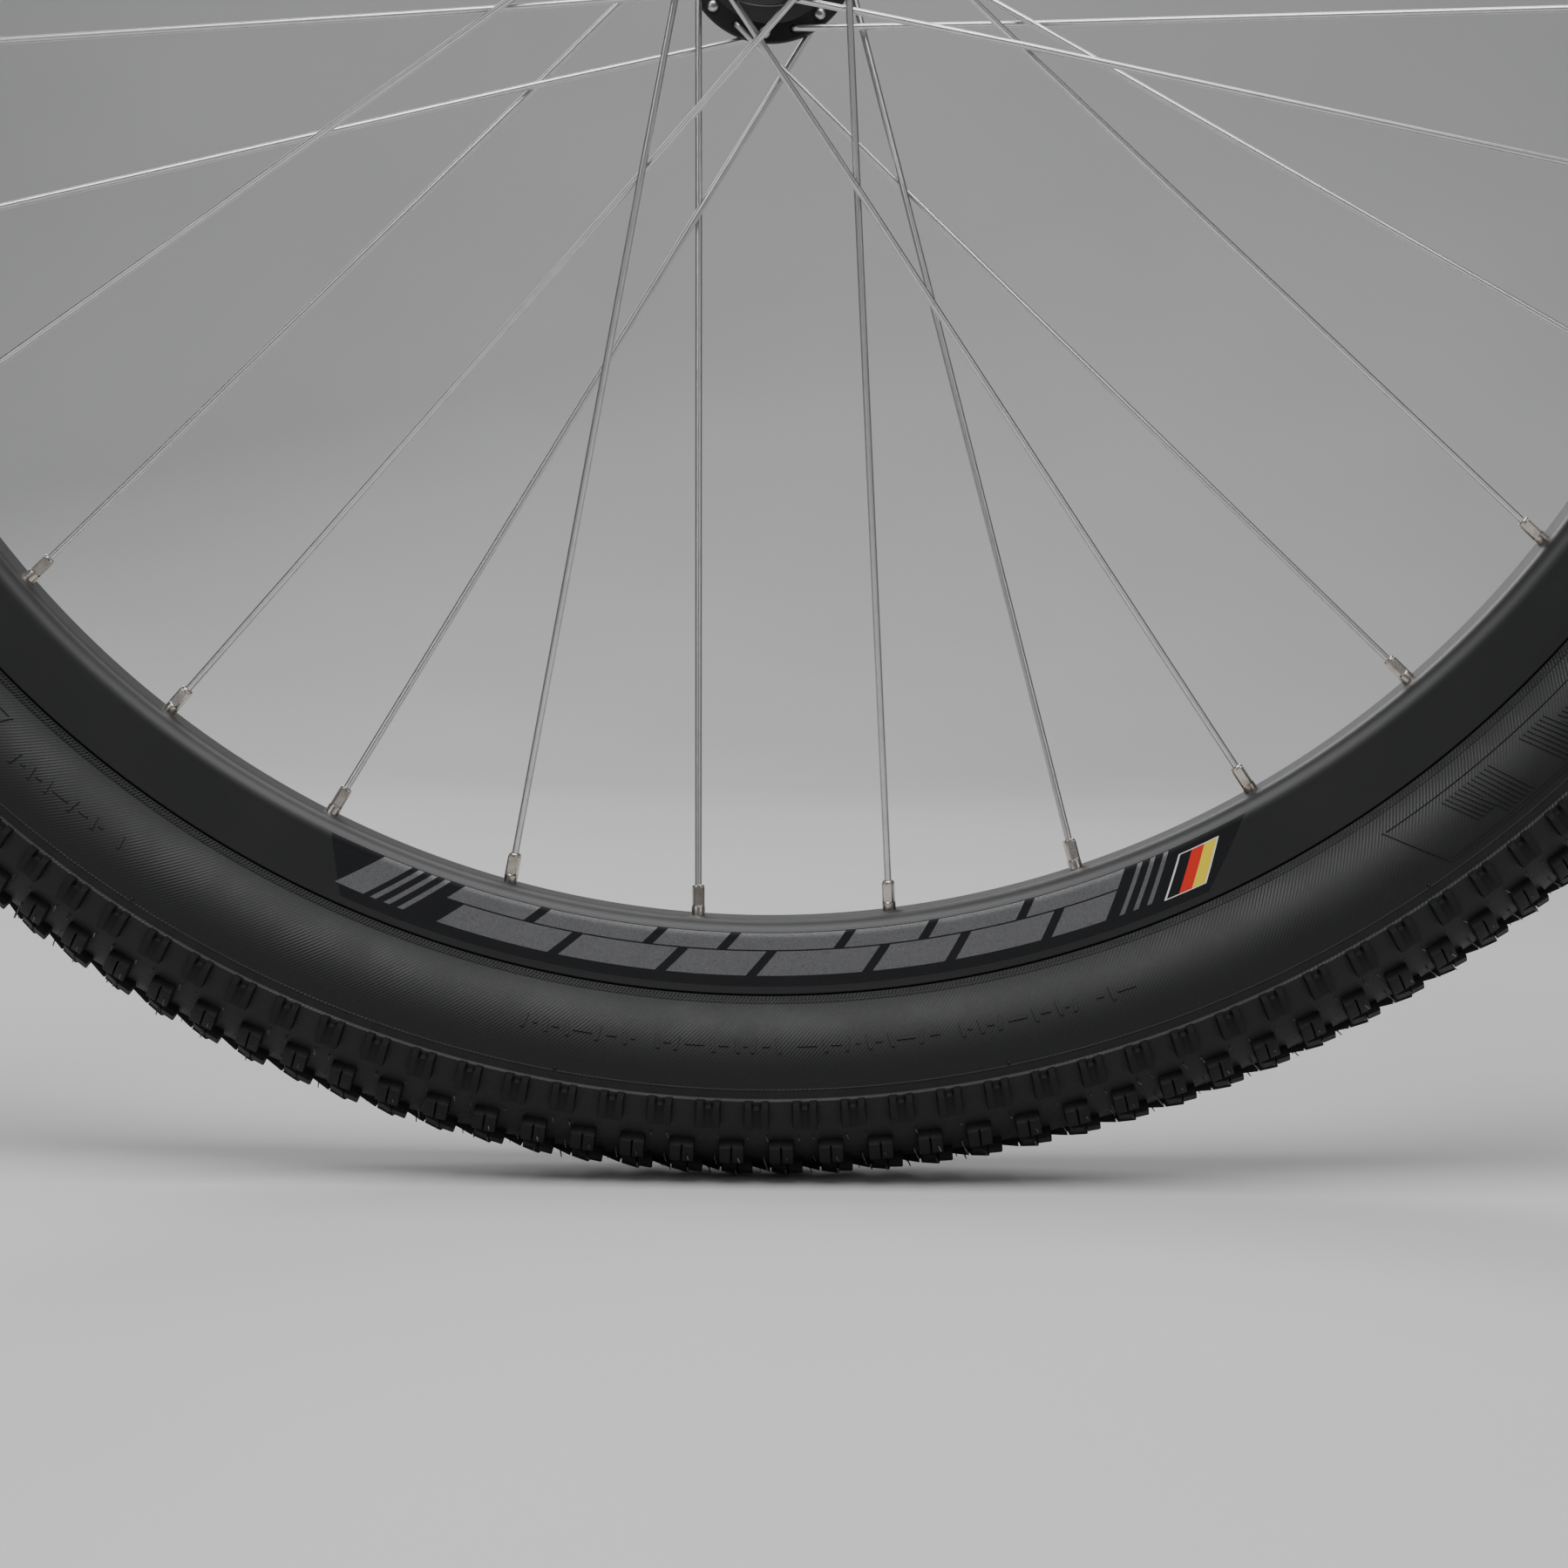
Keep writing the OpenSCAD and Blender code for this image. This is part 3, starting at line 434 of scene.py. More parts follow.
class Shape:
    """Points and faces of closed forms, before they become one object."""

    def __init__(self):
        self.points = []
        self.faces = []

    def loft(self, rings):
        """A closed form through rings of points, with its first and last ring filled."""
        start = len(self.points)
        size = len(rings[0])
        for ring in rings:
            self.points.extend(ring)
        for i in range(len(rings) - 1):
            low = start + i * size
            for j in range(size):
                k = (j + 1) % size
                self.faces.append((low + j, low + k, low + size + k, low + size + j))
        end = start + len(rings) * size
        self.faces.append(tuple(range(start + size - 1, start - 1, -1)))
        self.faces.append(tuple(range(end - size, end)))
        return self

    def slab(self, top, bottom):
        """A thin closed plate between two grids of points of the same size."""
        start = len(self.points)
        rows, columns = len(top), len(top[0])
        for grid in (top, bottom):
            for row in grid:
                self.points.extend(row)

        def face(*corners):
            places = [(level * rows + i) * columns + j for level, i, j in corners]
            self.faces.append(tuple(start + place for place in places))

        for i in range(rows - 1):
            for j in range(columns - 1):
                for level in (0, 1):
                    face((level, i, j), (level, i, j + 1), (level, i + 1, j + 1), (level, i + 1, j))
        for i in range(rows - 1):
            for j in (0, columns - 1):
                face((0, i, j), (0, i + 1, j), (1, i + 1, j), (1, i, j))
        for j in range(columns - 1):
            for i in (0, rows - 1):
                face((0, i, j), (0, i, j + 1), (1, i, j + 1), (1, i, j))


def plain_mesh(name, shape):
    """A mesh in metres from a shape in millimetres."""
    mesh = bpy.data.meshes.new(name)
    mesh.from_pydata([tuple(c * MM for c in p) for p in shape.points], [], shape.faces)
    return mesh


def tidy(mesh, sharp):
    """Merges doubles, turns faces outwards, and shades smooth up to an angle in degrees."""
    work = bmesh.new()
    work.from_mesh(mesh)
    bmesh.ops.remove_doubles(work, verts=work.verts, dist=WELD)
    bmesh.ops.recalc_face_normals(work, faces=work.faces)
    limit = math.radians(sharp)
    for face in work.faces:
        face.smooth = True
    for edge in work.edges:
        edge.smooth = len(edge.link_faces) == 2 and edge.calc_face_angle(0.0) < limit
    work.to_mesh(mesh)
    work.free()


def add_piece(name, mesh, finish, slot, replaces=(), sharp=35.0):
    """One piece of the wheel's body, with its finish and the CAD nodes it stands in for. The slot
    is not used.
    """
    tidy(mesh, sharp)
    mesh.materials.clear()
    mesh.materials.append(finish)
    piece = bpy.data.objects.new(name, mesh)
    bpy.context.scene.collection.objects.link(piece)
    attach(piece, "wheel")
    if replaces:
        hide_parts(*replaces)


# ---- Geometry Nodes ----


def node_tree(name, inputs):
    """A tree with its inputs, and the functions that add nodes to it and close it."""
    tree = bpy.data.node_groups.new(name, "GeometryNodeTree")
    tree.interface.new_socket("Geometry", in_out="INPUT", socket_type="NodeSocketGeometry")
    for label, kind, value in inputs:
        socket = tree.interface.new_socket(label, in_out="INPUT", socket_type="NodeSocket" + kind)
        if value is not None:
            socket.default_value = value
    tree.interface.new_socket("Geometry", in_out="OUTPUT", socket_type="NodeSocketGeometry")
    given = tree.nodes.new("NodeGroupInput")
    made = tree.nodes.new("NodeGroupOutput")

    def add(kind, settings=None, sockets=None):
        node = tree.nodes.new(kind)
        for key, value in (settings or {}).items():
            setattr(node, key, value)
        for key, value in (sockets or {}).items():
            if isinstance(value, bpy.types.NodeSocket):
                tree.links.new(value, node.inputs[key])
            else:
                node.inputs[key].default_value = value
        return node

    def calc(operation, *values):
        return add("ShaderNodeMath", {"operation": operation}, dict(enumerate(values))).outputs[0]

    def finish(geometry):
        solid = add("GeometryNodeRealizeInstances", None, {0: geometry}).outputs[0]
        painted = add(
            "GeometryNodeSetMaterial",
            None,
            {"Geometry": solid, "Material": given.outputs["Material"]},
        )
        tree.links.new(painted.outputs[0], made.inputs[0])
        return tree

    return given, add, calc, finish


def turned_ring_tree():
    """Turns a profile, drawn as points in order, about the Y axis."""
    given, add, calc, finish = node_tree(
        "turned_ring",
        [
            ("Points", "Int", 8),
            ("Segments", "Int", 360),
            ("Material", "Material", None),
        ],
    )
    points, segments = given.outputs["Points"], given.outputs["Segments"]
    grid = add(
        "GeometryNodeMeshGrid",
        None,
        {"Vertices X": calc("ADD", segments, 1), "Vertices Y": points},
    ).outputs[0]
    index = add("GeometryNodeInputIndex").outputs[0]
    column = calc("FLOOR", calc("DIVIDE", calc("ADD", index, 0.5), points))
    row = calc("SUBTRACT", index, calc("MULTIPLY", column, points))
    place = add("GeometryNodeInputPosition").outputs[0]
    sampled = add(
        "GeometryNodeSampleIndex",
        {"data_type": "FLOAT_VECTOR", "domain": "POINT"},
        {"Geometry": given.outputs["Geometry"], "Value": place, "Index": row},
    )
    turn = calc("MULTIPLY", calc("DIVIDE", column, segments), math.tau)
    turned = add(
        "ShaderNodeVectorRotate",
        {"rotation_type": "Y_AXIS"},
        {"Vector": sampled.outputs[0], "Angle": turn},
    ).outputs[0]
    moved = add("GeometryNodeSetPosition", None, {"Geometry": grid, "Position": turned}).outputs[0]
    closed = add("GeometryNodeMergeByDistance", None, {"Geometry": moved, "Distance": WELD})
    return finish(closed.outputs[0])


def round_the_wheel_tree():
    """Puts copies round the axle at a radius and a side, with random size and drift if asked."""
    given, add, calc, finish = node_tree(
        "round_the_wheel",
        [
            ("Count", "Int", 8),
            ("First angle", "Float", 0.0),
            ("Radius", "Float", 0.0),
            ("Sideways", "Float", 0.0),
            ("Drift", "Float", 0.0),
            ("Least scale", "Float", 1.0),
            ("Most scale", "Float", 1.0),
            ("Seed", "Int", 1),
            ("Material", "Material", None),
        ],
    )
    given = {socket.name: socket for socket in given.outputs if socket.name}
    points = add("GeometryNodePoints", None, {"Count": given["Count"]}).outputs[0]
    index = add("GeometryNodeInputIndex").outputs[0]
    drift = add(
        "FunctionNodeRandomValue",
        {"data_type": "FLOAT"},
        {2: calc("MULTIPLY", given["Drift"], -1.0), 3: given["Drift"], "Seed": given["Seed"]},
    ).outputs[1]
    step = calc("DIVIDE", calc("ADD", index, drift), given["Count"])
    angle = calc("ADD", calc("MULTIPLY", step, math.tau), given["First angle"])
    across = calc("MULTIPLY", calc("SINE", angle), given["Radius"])
    down = calc("MULTIPLY", calc("MULTIPLY", calc("COSINE", angle), given["Radius"]), -1.0)
    place = add("ShaderNodeCombineXYZ", None, {0: across, 1: given["Sideways"], 2: down}).outputs[0]
    set_out = add("GeometryNodeSetPosition", None, {"Geometry": points, "Position": place})
    euler = add("ShaderNodeCombineXYZ", None, {1: calc("MULTIPLY", angle, -1.0)}).outputs[0]
    turn = add("FunctionNodeEulerToRotation", None, {0: euler}).outputs[0]
    size = add(
        "FunctionNodeRandomValue",
        {"data_type": "FLOAT"},
        {2: given["Least scale"], 3: given["Most scale"], "Seed": calc("ADD", given["Seed"], 7)},
    ).outputs[1]
    copies = add(
        "GeometryNodeInstanceOnPoints",
        None,
        {
            "Points": set_out.outputs[0],
            "Instance": given["Geometry"],
            "Rotation": turn,
            "Scale": size,
        },
    )
    return finish(copies.outputs[0])


TURNED_RING = turned_ring_tree()
ROUND_THE_WHEEL = round_the_wheel_tree()


def grown(name, mesh, tree, settings):
    """The plain mesh that a node tree makes of a mesh."""
    seed = bpy.data.objects.new(name + "_seed", mesh)
    bpy.context.scene.collection.objects.link(seed)
    modifier = seed.modifiers.new("grow", "NODES")
    modifier.node_group = tree
    for item in tree.interface.items_tree:
        if item.item_type == "SOCKET" and item.in_out == "INPUT" and item.name in settings:
            modifier[item.identifier] = settings[item.name]
    bpy.context.view_layer.update()
    evaluated = seed.evaluated_get(bpy.context.evaluated_depsgraph_get())
    result = bpy.data.meshes.new_from_object(evaluated)
    result.name = name
    seed.modifiers.clear()
    bpy.data.objects.remove(seed)
    return result


def turned_ring(name, profile, finish, slot, replaces, segments, sharp):
    """A ring whose closed outline is given as points (radius, sideways)."""
    mesh = bpy.data.meshes.new(name + "_outline")
    outline = list(profile) + [profile[0]]
    mesh.from_pydata([(0.0, y * MM, -r * MM) for r, y in outline], [], [])
    settings = {"Points": len(outline), "Segments": segments, "Material": finish}
    add_piece(name, grown(name, mesh, TURNED_RING, settings), finish, slot, replaces, sharp)


def repeated_mesh(name, shape, finish, **settings):
    """Copies of a shape round the axle. The settings are the tree's inputs, such as first_angle."""
    settings = {key.replace("_", " ").capitalize(): value for key, value in settings.items()}
    settings["Material"] = finish
    return grown(name, plain_mesh(name + "_one", shape), ROUND_THE_WHEEL, settings)


def joined(name, meshes):
    """One mesh of several."""
    work = bmesh.new()
    for mesh in meshes:
        work.from_mesh(mesh)
    result = bpy.data.meshes.new(name)
    work.to_mesh(result)
    work.free()
    return result


# ---- Rim ----


def arc(centre, r, start, end, steps):
    """Points of an arc in a turned outline, between two angles in degrees."""
    angles = [math.radians(start + (end - start) * i / steps) for i in range(steps + 1)]
    return [(centre[0] + r * math.cos(a), centre[1] + r * math.sin(a)) for a in angles]


def mirrored(points):
    """Half an outline, then the other half."""
    return points + [(r, -y) for r, y in reversed(points)]


rim_half = (
    [(BED_R, 0.0), (BED_R, BED_HALF_W * 0.5)]
    + arc((WALL_TOP_R, BED_HALF_W), BED_CORNER, 180.0, 90.0, 14)
    + [
        (WALL_TOP_R + 5.0, WALL_TOP_Y + 0.5),
        (WALL_TOP_R + 10.0, WALL_TOP_Y + 1.0),
        (WALL_END_R, HALF_W),
    ]
    + arc((FLANGE_R - LIP_R, HALF_W - LIP_R), LIP_R, 80.0, 10.0, 4)
    + [
        (FLANGE_R, INNER_HALF_W + 0.3),
        (FLANGE_R - 0.5, INNER_HALF_W - 0.5),
        (FLANGE_R - 1.4, INNER_HALF_W - 0.5),
        (FLANGE_R - 2.4, INNER_HALF_W),
        (SEAT_R, INNER_HALF_W),
        (SEAT_R - 0.3, CHANNEL_HALF_W + 1.6),
        (CHANNEL_R, CHANNEL_HALF_W),
        (CHANNEL_R, 0.0),
    ]
)
rim_outline = mirrored(rim_half)[:-1]
turned_ring("rim_extrusion", rim_outline, RIM_BLACK, "black_aluminium", ["rim"], 480, 25.0)


def rim_wall(r, lift):
    """Radius and sideways place on the rim's outer wall, raised by a lift."""
    if r < WALL_TOP_R:
        dr = r - WALL_TOP_R
        dy = math.sqrt(BED_CORNER**2 - dr**2)
        scale = (BED_CORNER + lift) / BED_CORNER
        return WALL_TOP_R + dr * scale, BED_HALF_W + dy * scale
    share = (r - WALL_TOP_R) / (WALL_END_R - WALL_TOP_R)
    slope = math.atan2(HALF_W - WALL_TOP_Y, WALL_END_R - WALL_TOP_R)
    y = WALL_TOP_Y + share * (HALF_W - WALL_TOP_Y)
    return r - lift * math.sin(slope), y + lift * math.cos(slope)


def sidewall(r, lift):
    """Radius and sideways place on the tyre's round section, raised by a lift."""
    a = math.acos((r - CENTRE_R) / SECTION_R)
    return CENTRE_R + (SECTION_R + lift) * math.cos(a), (SECTION_R + lift) * math.sin(a)


def patch(shape, surface, side, corners, top, bottom, cell_angle, cell_r, taper=0.0):
    """A plate on a surface, between two lifts, from four corners as (angle, radius). Its cells are
    no larger than cell_angle by cell_r, and its top is smaller all round by the taper."""
    (a0, r0), (a1, r1), (a2, r2), (a3, r3) = corners
    rows = max(1, math.ceil(max(abs(r3 - r0), abs(r2 - r1)) / cell_r))
    columns = max(1, math.ceil(max(abs(a1 - a0), abs(a2 - a3)) / cell_angle))
    grids = []
    for lift, grow in ((top, -taper), (bottom, 0.0)):
        grid = []
        for i in range(rows + 1):
            v = i / rows
            line = []
            for j in range(columns + 1):
                u = j / columns
                a = (a0 * (1 - u) + a1 * u) * (1 - v) + (a3 * (1 - u) + a2 * u) * v
                r = (r0 * (1 - u) + r1 * u) * (1 - v) + (r3 * (1 - u) + r2 * u) * v
                r += grow * (1 - 2 * v)
                a += math.degrees(grow / r) * (1 - 2 * u)
                wall_r, wall_y = surface(r, lift)
                line.append(on_wheel(wall_r, a, side * wall_y))
            grid.append(line)
        grids.append(grid)
    shape.slab(*grids)


def bar(a, width, top, foot, lean=0.0):
    """Corners of an upright bar from an angle and a radius, its foot moved along by a lean."""
    return [(a, top), (a + width, top), (a + width + lean, foot), (a + lean, foot)]


# Decal: black film with two courses of slanted silver blocks, thin bars and a striped chip.
# Blocks and bars are given as (angle, width).
DECAL_FROM = -23.8
DECAL_TO = 26.6
DECAL_TOP = 280.2
DECAL_FOOT = 295.4
EDGE_LINE = 0.18
INK_TOP = 280.6
INK_FOOT = 292.4
COURSE_GAP = (285.2, 285.6)
SLANT = 0.17
SILVER_BARS = [(-23.0, 1.7)]
SILVER_BARS += [(a, 0.34) for a in (-20.9, -20.1, -19.3)]
SILVER_BARS += [(a, 0.3) for a in (21.2, 22.0, 22.8)]
UPPER_COURSE = [(-18.1, 4.5), (-13.0, 6.2), (-6.2, 3.6), (-2.0, 6.0)]
UPPER_COURSE += [(4.6, 4.2), (9.4, 5.0), (15.0, 5.4)]
LOWER_COURSE = [(-17.0, 6.3), (-10.1, 5.4), (-4.1, 4.4), (0.9, 5.8)]
LOWER_COURSE += [(7.3, 4.0), (11.9, 4.8), (17.3, 3.1)]
CHIP_ANGLE = 24.0
CHIP_BANDS = (
    ("black", DECAL_BLACK, 0.0, 0.72, "black_aluminium"),
    ("red", DECAL_RED, 0.72, 0.78, "nylon"),
    ("yellow", DECAL_YELLOW, 1.5, 0.78, "nylon"),
)
FILM_LIFT = 0.05
KEYLINE_LIFT = 0.07
SILVER_LIFT = 0.075
EDGE_LIFT = 0.08
BAND_LIFT = 0.1


def slanted(a, width, top=INK_TOP, foot=INK_FOOT):
    """Corners of a slanted bar whose line meets the decal's middle height at angle a."""
    middle = (INK_TOP + INK_FOOT) / 2
    near = a - (top - middle) * SLANT
    far = a - (foot - middle) * SLANT
    return [(near, top), (near + width, top), (far + width, foot), (far, foot)]


def decals(side):
    """The printed decal on one side, layer by layer."""
    name = "left" if side < 0 else "right"

    def ink(shape, corners, lift):
        patch(shape, rim_wall, side, corners, lift, 0.0, 0.4, 0.8)

    def add(part, shape, finish, slot):
        add_piece(f"decal_{part}_{name}", plain_mesh(part, shape), finish, slot)

    film, silver, line, keyline = Shape(), Shape(), Shape(), Shape()
    near, far = DECAL_FROM - 1.6, DECAL_TO + 2.4
    top_corners = [(near, DECAL_TOP), (far, DECAL_TOP)]
    foot_corners = [(DECAL_TO - 1.4, DECAL_FOOT), (DECAL_FROM + 0.4, DECAL_FOOT)]
    patch(film, rim_wall, side, top_corners + foot_corners, FILM_LIFT, -FILM_LIFT, 0.5, 0.8)
    for a, width in SILVER_BARS:
        ink(silver, slanted(a, width), SILVER_LIFT)
    for a, width in UPPER_COURSE:
        ink(silver, slanted(a, width, foot=COURSE_GAP[0]), SILVER_LIFT)
    for a, width in LOWER_COURSE:
        ink(silver, slanted(a, width, top=COURSE_GAP[1]), SILVER_LIFT)
    line_foot = DECAL_TOP + EDGE_LINE
    line_corners = top_corners + [(DECAL_TO + 2.36, line_foot), (DECAL_FROM - 1.56, line_foot)]
    patch(line, rim_wall, side, line_corners, EDGE_LIFT, 0.0, 0.5, 0.5)
    ink(keyline, slanted(CHIP_ANGLE - 0.12, 2.5, 282.6, 293.0), KEYLINE_LIFT)
    add("film", film, DECAL_BLACK, "black_aluminium")
    add("blocks", silver, DECAL_SILVER, "bare_aluminium")
    add("edge", line, DECAL_GREY, "bare_aluminium")
    add("keyline", keyline, DECAL_WHITE, "nylon")
    for colour, finish, start, width, slot in CHIP_BANDS:
        band = Shape()
        ink(band, slanted(CHIP_ANGLE + start, width, 282.85, 292.75), BAND_LIFT)
        add(colour, band, finish, slot)


decals(-1)
decals(1)

# ---- Tyre ----

SIDEWALL_START = math.degrees(math.asin((HALF_W + FIT_GAP) / SECTION_R))
TREAD_EDGE = 78.0
RIDGES = ((144.6, 0.75, 0.34), (141.6, 0.5, 0.12), (84.2, 0.6, 0.16))


def section(a, height):
    """Radius and sideways place, from an angle off the crown and a height above the casing."""
    t = math.radians(a)
    return CENTRE_R + (SECTION_R + height) * math.cos(t), (SECTION_R + height) * math.sin(t)


def casing_height(a):
    """Height of the rubber above the casing's circle: thicker under the tread, with ridges."""
    under_tread = TREAD_BASE * min(1.0, max(0.0, (TREAD_EDGE + 0.9 - a) / 1.4))
    ridge = 0.0
    for centre, width, height in RIDGES:
        ridge += height * max(0.0, 1 - ((a - centre) / width) ** 2)
    return max(under_tread, ridge)


outside = [3.0 * i for i in range(25)]
outside += [TREAD_EDGE - 1.6 + 0.4 * i for i in range(8)]
outside += [82.0, 83.5, 83.9, 84.2, 84.5, 84.9] + [87.0 + 3.0 * i for i in range(18)]
outside += [141.1, 141.4, 141.8, 142.1, 143.0, 143.9, 144.2, 144.6, 145.0, 145.35, 146.3]
outside += [180.0 - SIDEWALL_START]
start_inside = 180.0 - math.degrees(math.asin((BEAD_HALF_W - 2.9) / (SECTION_R - CASING_WALL)))
tyre_half = (
    [section(a, casing_height(a)) for a in outside]
    + [
        (FLANGE_R + FIT_GAP, HALF_W - 0.6),
        (FLANGE_R + FIT_GAP, BEAD_HALF_W),
        (SEAT_R + FIT_GAP, BEAD_HALF_W),
        (SEAT_R + FIT_GAP, BEAD_HALF_W - 2.6),
        (SEAT_R + 1.2, BEAD_HALF_W - 3.4),
    ]
    + [section(start_inside * (1 - i / 14), -CASING_WALL) for i in range(15)]
)
tyre_outline = tyre_half[:-1] + [(tyre_half[-1][0], 0.0)]
tyre_outline += [(r, -y) for r, y in reversed(tyre_half[1:-1])]
turned_ring("tyre_body", tyre_outline, SIDEWALL, "tyre_rubber", ["tyre_casing"], 360, 30.0)


BLOCK_DRAFT = 0.25


def block(stations, cross):
    """A tread block straight below the axle. Stations are (section angle, height, depth) along it.
    Cross gives (place along the tread, drop below the top), and the depth scales the drop."""
    shape = Shape()
    rings = []
    for a, height, depth in stations:
        ring = []
        for t, drop in cross:
            r, y = section(a, max(0.25, height - drop * depth))
            ring.append(on_wheel(r, math.degrees(t / r), y))
        for t in (cross[-1][0] + BLOCK_DRAFT, cross[0][0] - BLOCK_DRAFT):
            r, y = section(a, 0.2)
            ring.append(on_wheel(r, math.degrees(t / r), y))
        rings.append(ring)
    return shape.loft(rings)


def mirror_shape(shape):
    other = Shape()
    other.points = [(x, -y, z) for x, y, z in shape.points]
    other.faces = [tuple(reversed(face)) for face in shape.faces]
    return other


def both_sides(name, shape, finish, **settings):
    """Copies of a shape round the axle, and of its mirror image."""
    return [
        repeated_mesh(f"{name}_{i}", side_shape, finish, **settings)
        for i, side_shape in enumerate((shape, mirror_shape(shape)))
    ]


# Knobs by row, from the side to the crown, each with a groove through its middle
SIDE_CROSS = [(-3.35, 0.3), (-3.1, 0.0), (-1.5, 0.1), (-0.7, 1.0)]
SIDE_CROSS += [(0.7, 1.0), (1.5, 0.1), (3.1, 0.0), (3.35, 0.3)]
SIDE_STATIONS = [
    (78.2, 0.3, 0.3),
    (76.8, 2.3, 2.1),
    (75.0, 2.9, 2.2),
    (73.6, 3.0, 0.9),
    (68.0, 3.15, 0.6),
    (63.4, 3.3, 0.5),
    (62.0, 3.2, 0.45),
    (60.9, 0.45, 0.0),
]
MID_CROSS = [(-3.3, 0.1), (-3.05, 0.0), (-0.3, 0.0), (-0.22, 1.0)]
MID_CROSS += [(0.22, 1.0), (0.3, 0.0), (3.05, 0.0), (3.3, 0.1)]
MID_STATIONS = [
    (49.6, 0.5, 0.0),
    (48.2, 3.5, 0.6),
    (46.6, 3.8, 1.5),
    (36.0, 3.96, 1.5),
    (34.4, 3.8, 0.6),
    (33.0, 0.5, 0.0),
]
INNER_CROSS = [(-4.4, 1.6), (-3.9, 1.1), (-0.3, 0.4), (-0.22, 1.5)]
INNER_CROSS += [(0.22, 1.5), (0.3, 0.3), (3.9, 0.0), (4.2, 0.25)]
INNER_STATIONS = [
    (28.0, 0.5, 0.0),
    (26.6, 3.9, 1.0),
    (17.4, 4.1, 1.0),
    (15.8, 0.5, 0.0),
]
CENTRE_CROSS = [(-5.8, 2.9), (-5.2, 2.4), (-0.3, 1.0), (-0.22, 2.1)]
CENTRE_CROSS += [(0.22, 2.1), (0.3, 0.9), (5.1, 0.0), (5.4, 0.3)]
CENTRE_STATIONS = [
    (11.6, 0.5, 0.0),
    (10.2, 4.25, 1.0),
    (2.2, 4.38, 1.0),
    (1.2, 0.5, 0.0),
]
CENTRE_SHIFT = 3.9
KNOBS = (
    ("side_knob", SIDE_STATIONS, SIDE_CROSS, 0.0),
    ("shoulder_knob", MID_STATIONS, MID_CROSS, ROW_TURN / 2),
    ("inner_knob", INNER_STATIONS, INNER_CROSS, ROW_TURN * 0.62),
    ("centre_knob", CENTRE_STATIONS, CENTRE_CROSS, CENTRE_SHIFT / CROWN_R),
)
tread_meshes = []
for knob, stations, cross, shift in KNOBS:
    shape = block(stations, cross)
    tread_meshes += both_sides(knob, shape, TREAD, count=KNOB_ROWS, first_angle=shift)
add_piece(
    "tread_knobs",
    joined("tread_knobs", tread_meshes),
    TREAD,
    "tyre_rubber",
    replaces=["tyre_tread"],
    sharp=25.0,
)


HAIR_R = 0.27
HAIR_SIDES = 6
HAIR_BOW = 0.25
HAIR_STATIONS = ((0.0, 1.25), (0.3, 1.0), (1.0, 0.75), (1.06, 0.3))
HAIR_ROWS = (
    (52.4, 0.7, 2.2, 1, -2.5),
    (52.4, 0.7, 2.2, 1, 2.5),
    (41.0, 3.7, 2.0, 1, 8.6),
    (31.0, 0.7, 4.6, 1, 2.2),
    (22.0, 3.5, 2.0, 1, 8.3),
    (6.0, 0.8, 3.4, 1, 0.2),
    (6.0, 2.2, 2.0, 2, 3.4),
)


def hair(length, section_angle):
    """A rubber hair left by a mould vent, standing on the section at an angle from the crown."""
    lean = math.radians(section_angle)
    out = Vector((0.0, math.sin(lean), -math.cos(lean)))
    side = Vector((1.0, 0.0, 0.0))
    third = out.cross(side)
    rings = []
    for share, width in HAIR_STATIONS:
        centre = out * (length * share) + side * (HAIR_BOW * share * share * length)
        ring = []
        for i in range(HAIR_SIDES):
            a = math.tau * i / HAIR_SIDES
            ring.append(tuple(centre + (side * math.cos(a) + third * math.sin(a)) * HAIR_R * width))
        rings.append(ring)
    return Shape().loft(rings)


def hairs():
    """Mould hairs. A row has a section angle, height, length, knobs per hair and shift."""
    meshes = []
    for number, (a, height, length, knobs_per_hair, shift) in enumerate(HAIR_ROWS):
        for side in (1, -1):
            r, y = section(a, height)
            mesh = repeated_mesh(
                f"hair_{number}_{side}",
                hair(length, a * side),
                HAIRS,
                count=KNOB_ROWS // knobs_per_hair,
                first_angle=shift / r,
                radius=r * MM,
                sideways=side * y * MM,
                drift=0.05,
                least_scale=0.25,
                most_scale=1.0,
                seed=11 + number * 3 + side,
            )
            meshes.append(mesh)
    add_piece("mould_hairs", joined("mould_hairs", meshes), HAIRS, "tyre_rubber", sharp=60.0)


hairs()

# Woven edge of the bead strip: short slanted ridges beside the rim
TEETH = 1850
TOOTH = [(0.17, 298.3), (0.265, 298.3), (0.045, 299.9), (-0.05, 299.9)]


def bead_teeth():
    shape = Shape()
    patch(shape, sidewall, 1, TOOTH, 0.3, -0.1, 0.4, 1.2)
    weave = joined("bead_strip_weave", both_sides("tooth", shape, SIDEWALL, count=TEETH))
    add_piece("bead_strip_weave", weave, SIDEWALL, "tyre_rubber")


bead_teeth()

# Moulded marks on the sidewalls: dashes, a ribbed panel in a frame, and small round pips
MARK_LIFT = 0.35
MARK_ROOT = -0.05
DASH_TOP = 308.9
DASH_FOOT = 312.6
DASH_LEVEL = (310.4, 311.0)
DASH_WIDTHS = (0.5, 0.22, 0.7, 0.36, 0.5, 0.95, 0.22, 0.5)
DASH_LINE = 0.16
DASH_LEAN = 0.12
DASH_SPACE = 0.3
DASH_SPANS = ((-41.5, -34.5), (-12.0, 19.0), (138.5, 145.5), (168.0, 199.0))
PANEL_TOP = 303.8
PANEL_FOOT = 320.3
PANEL_LINE = 0.4
PANEL_EDGE = 0.1
PANEL_SLOPE = 2.0
PANELS = ((34.6, 46.0), (214.6, 46.0), (-83.0, 40.0), (97.0, 40.0))
RIB_LIFT = 0.32
RIB_TOP = 306.2
RIB_FOOT = 318.4
RIB_WIDTH = 0.11
RIB_PITCH = 0.28
RIB_LEAN = 0.9
RIBS = 12
RIB_BLOCK = 5.2
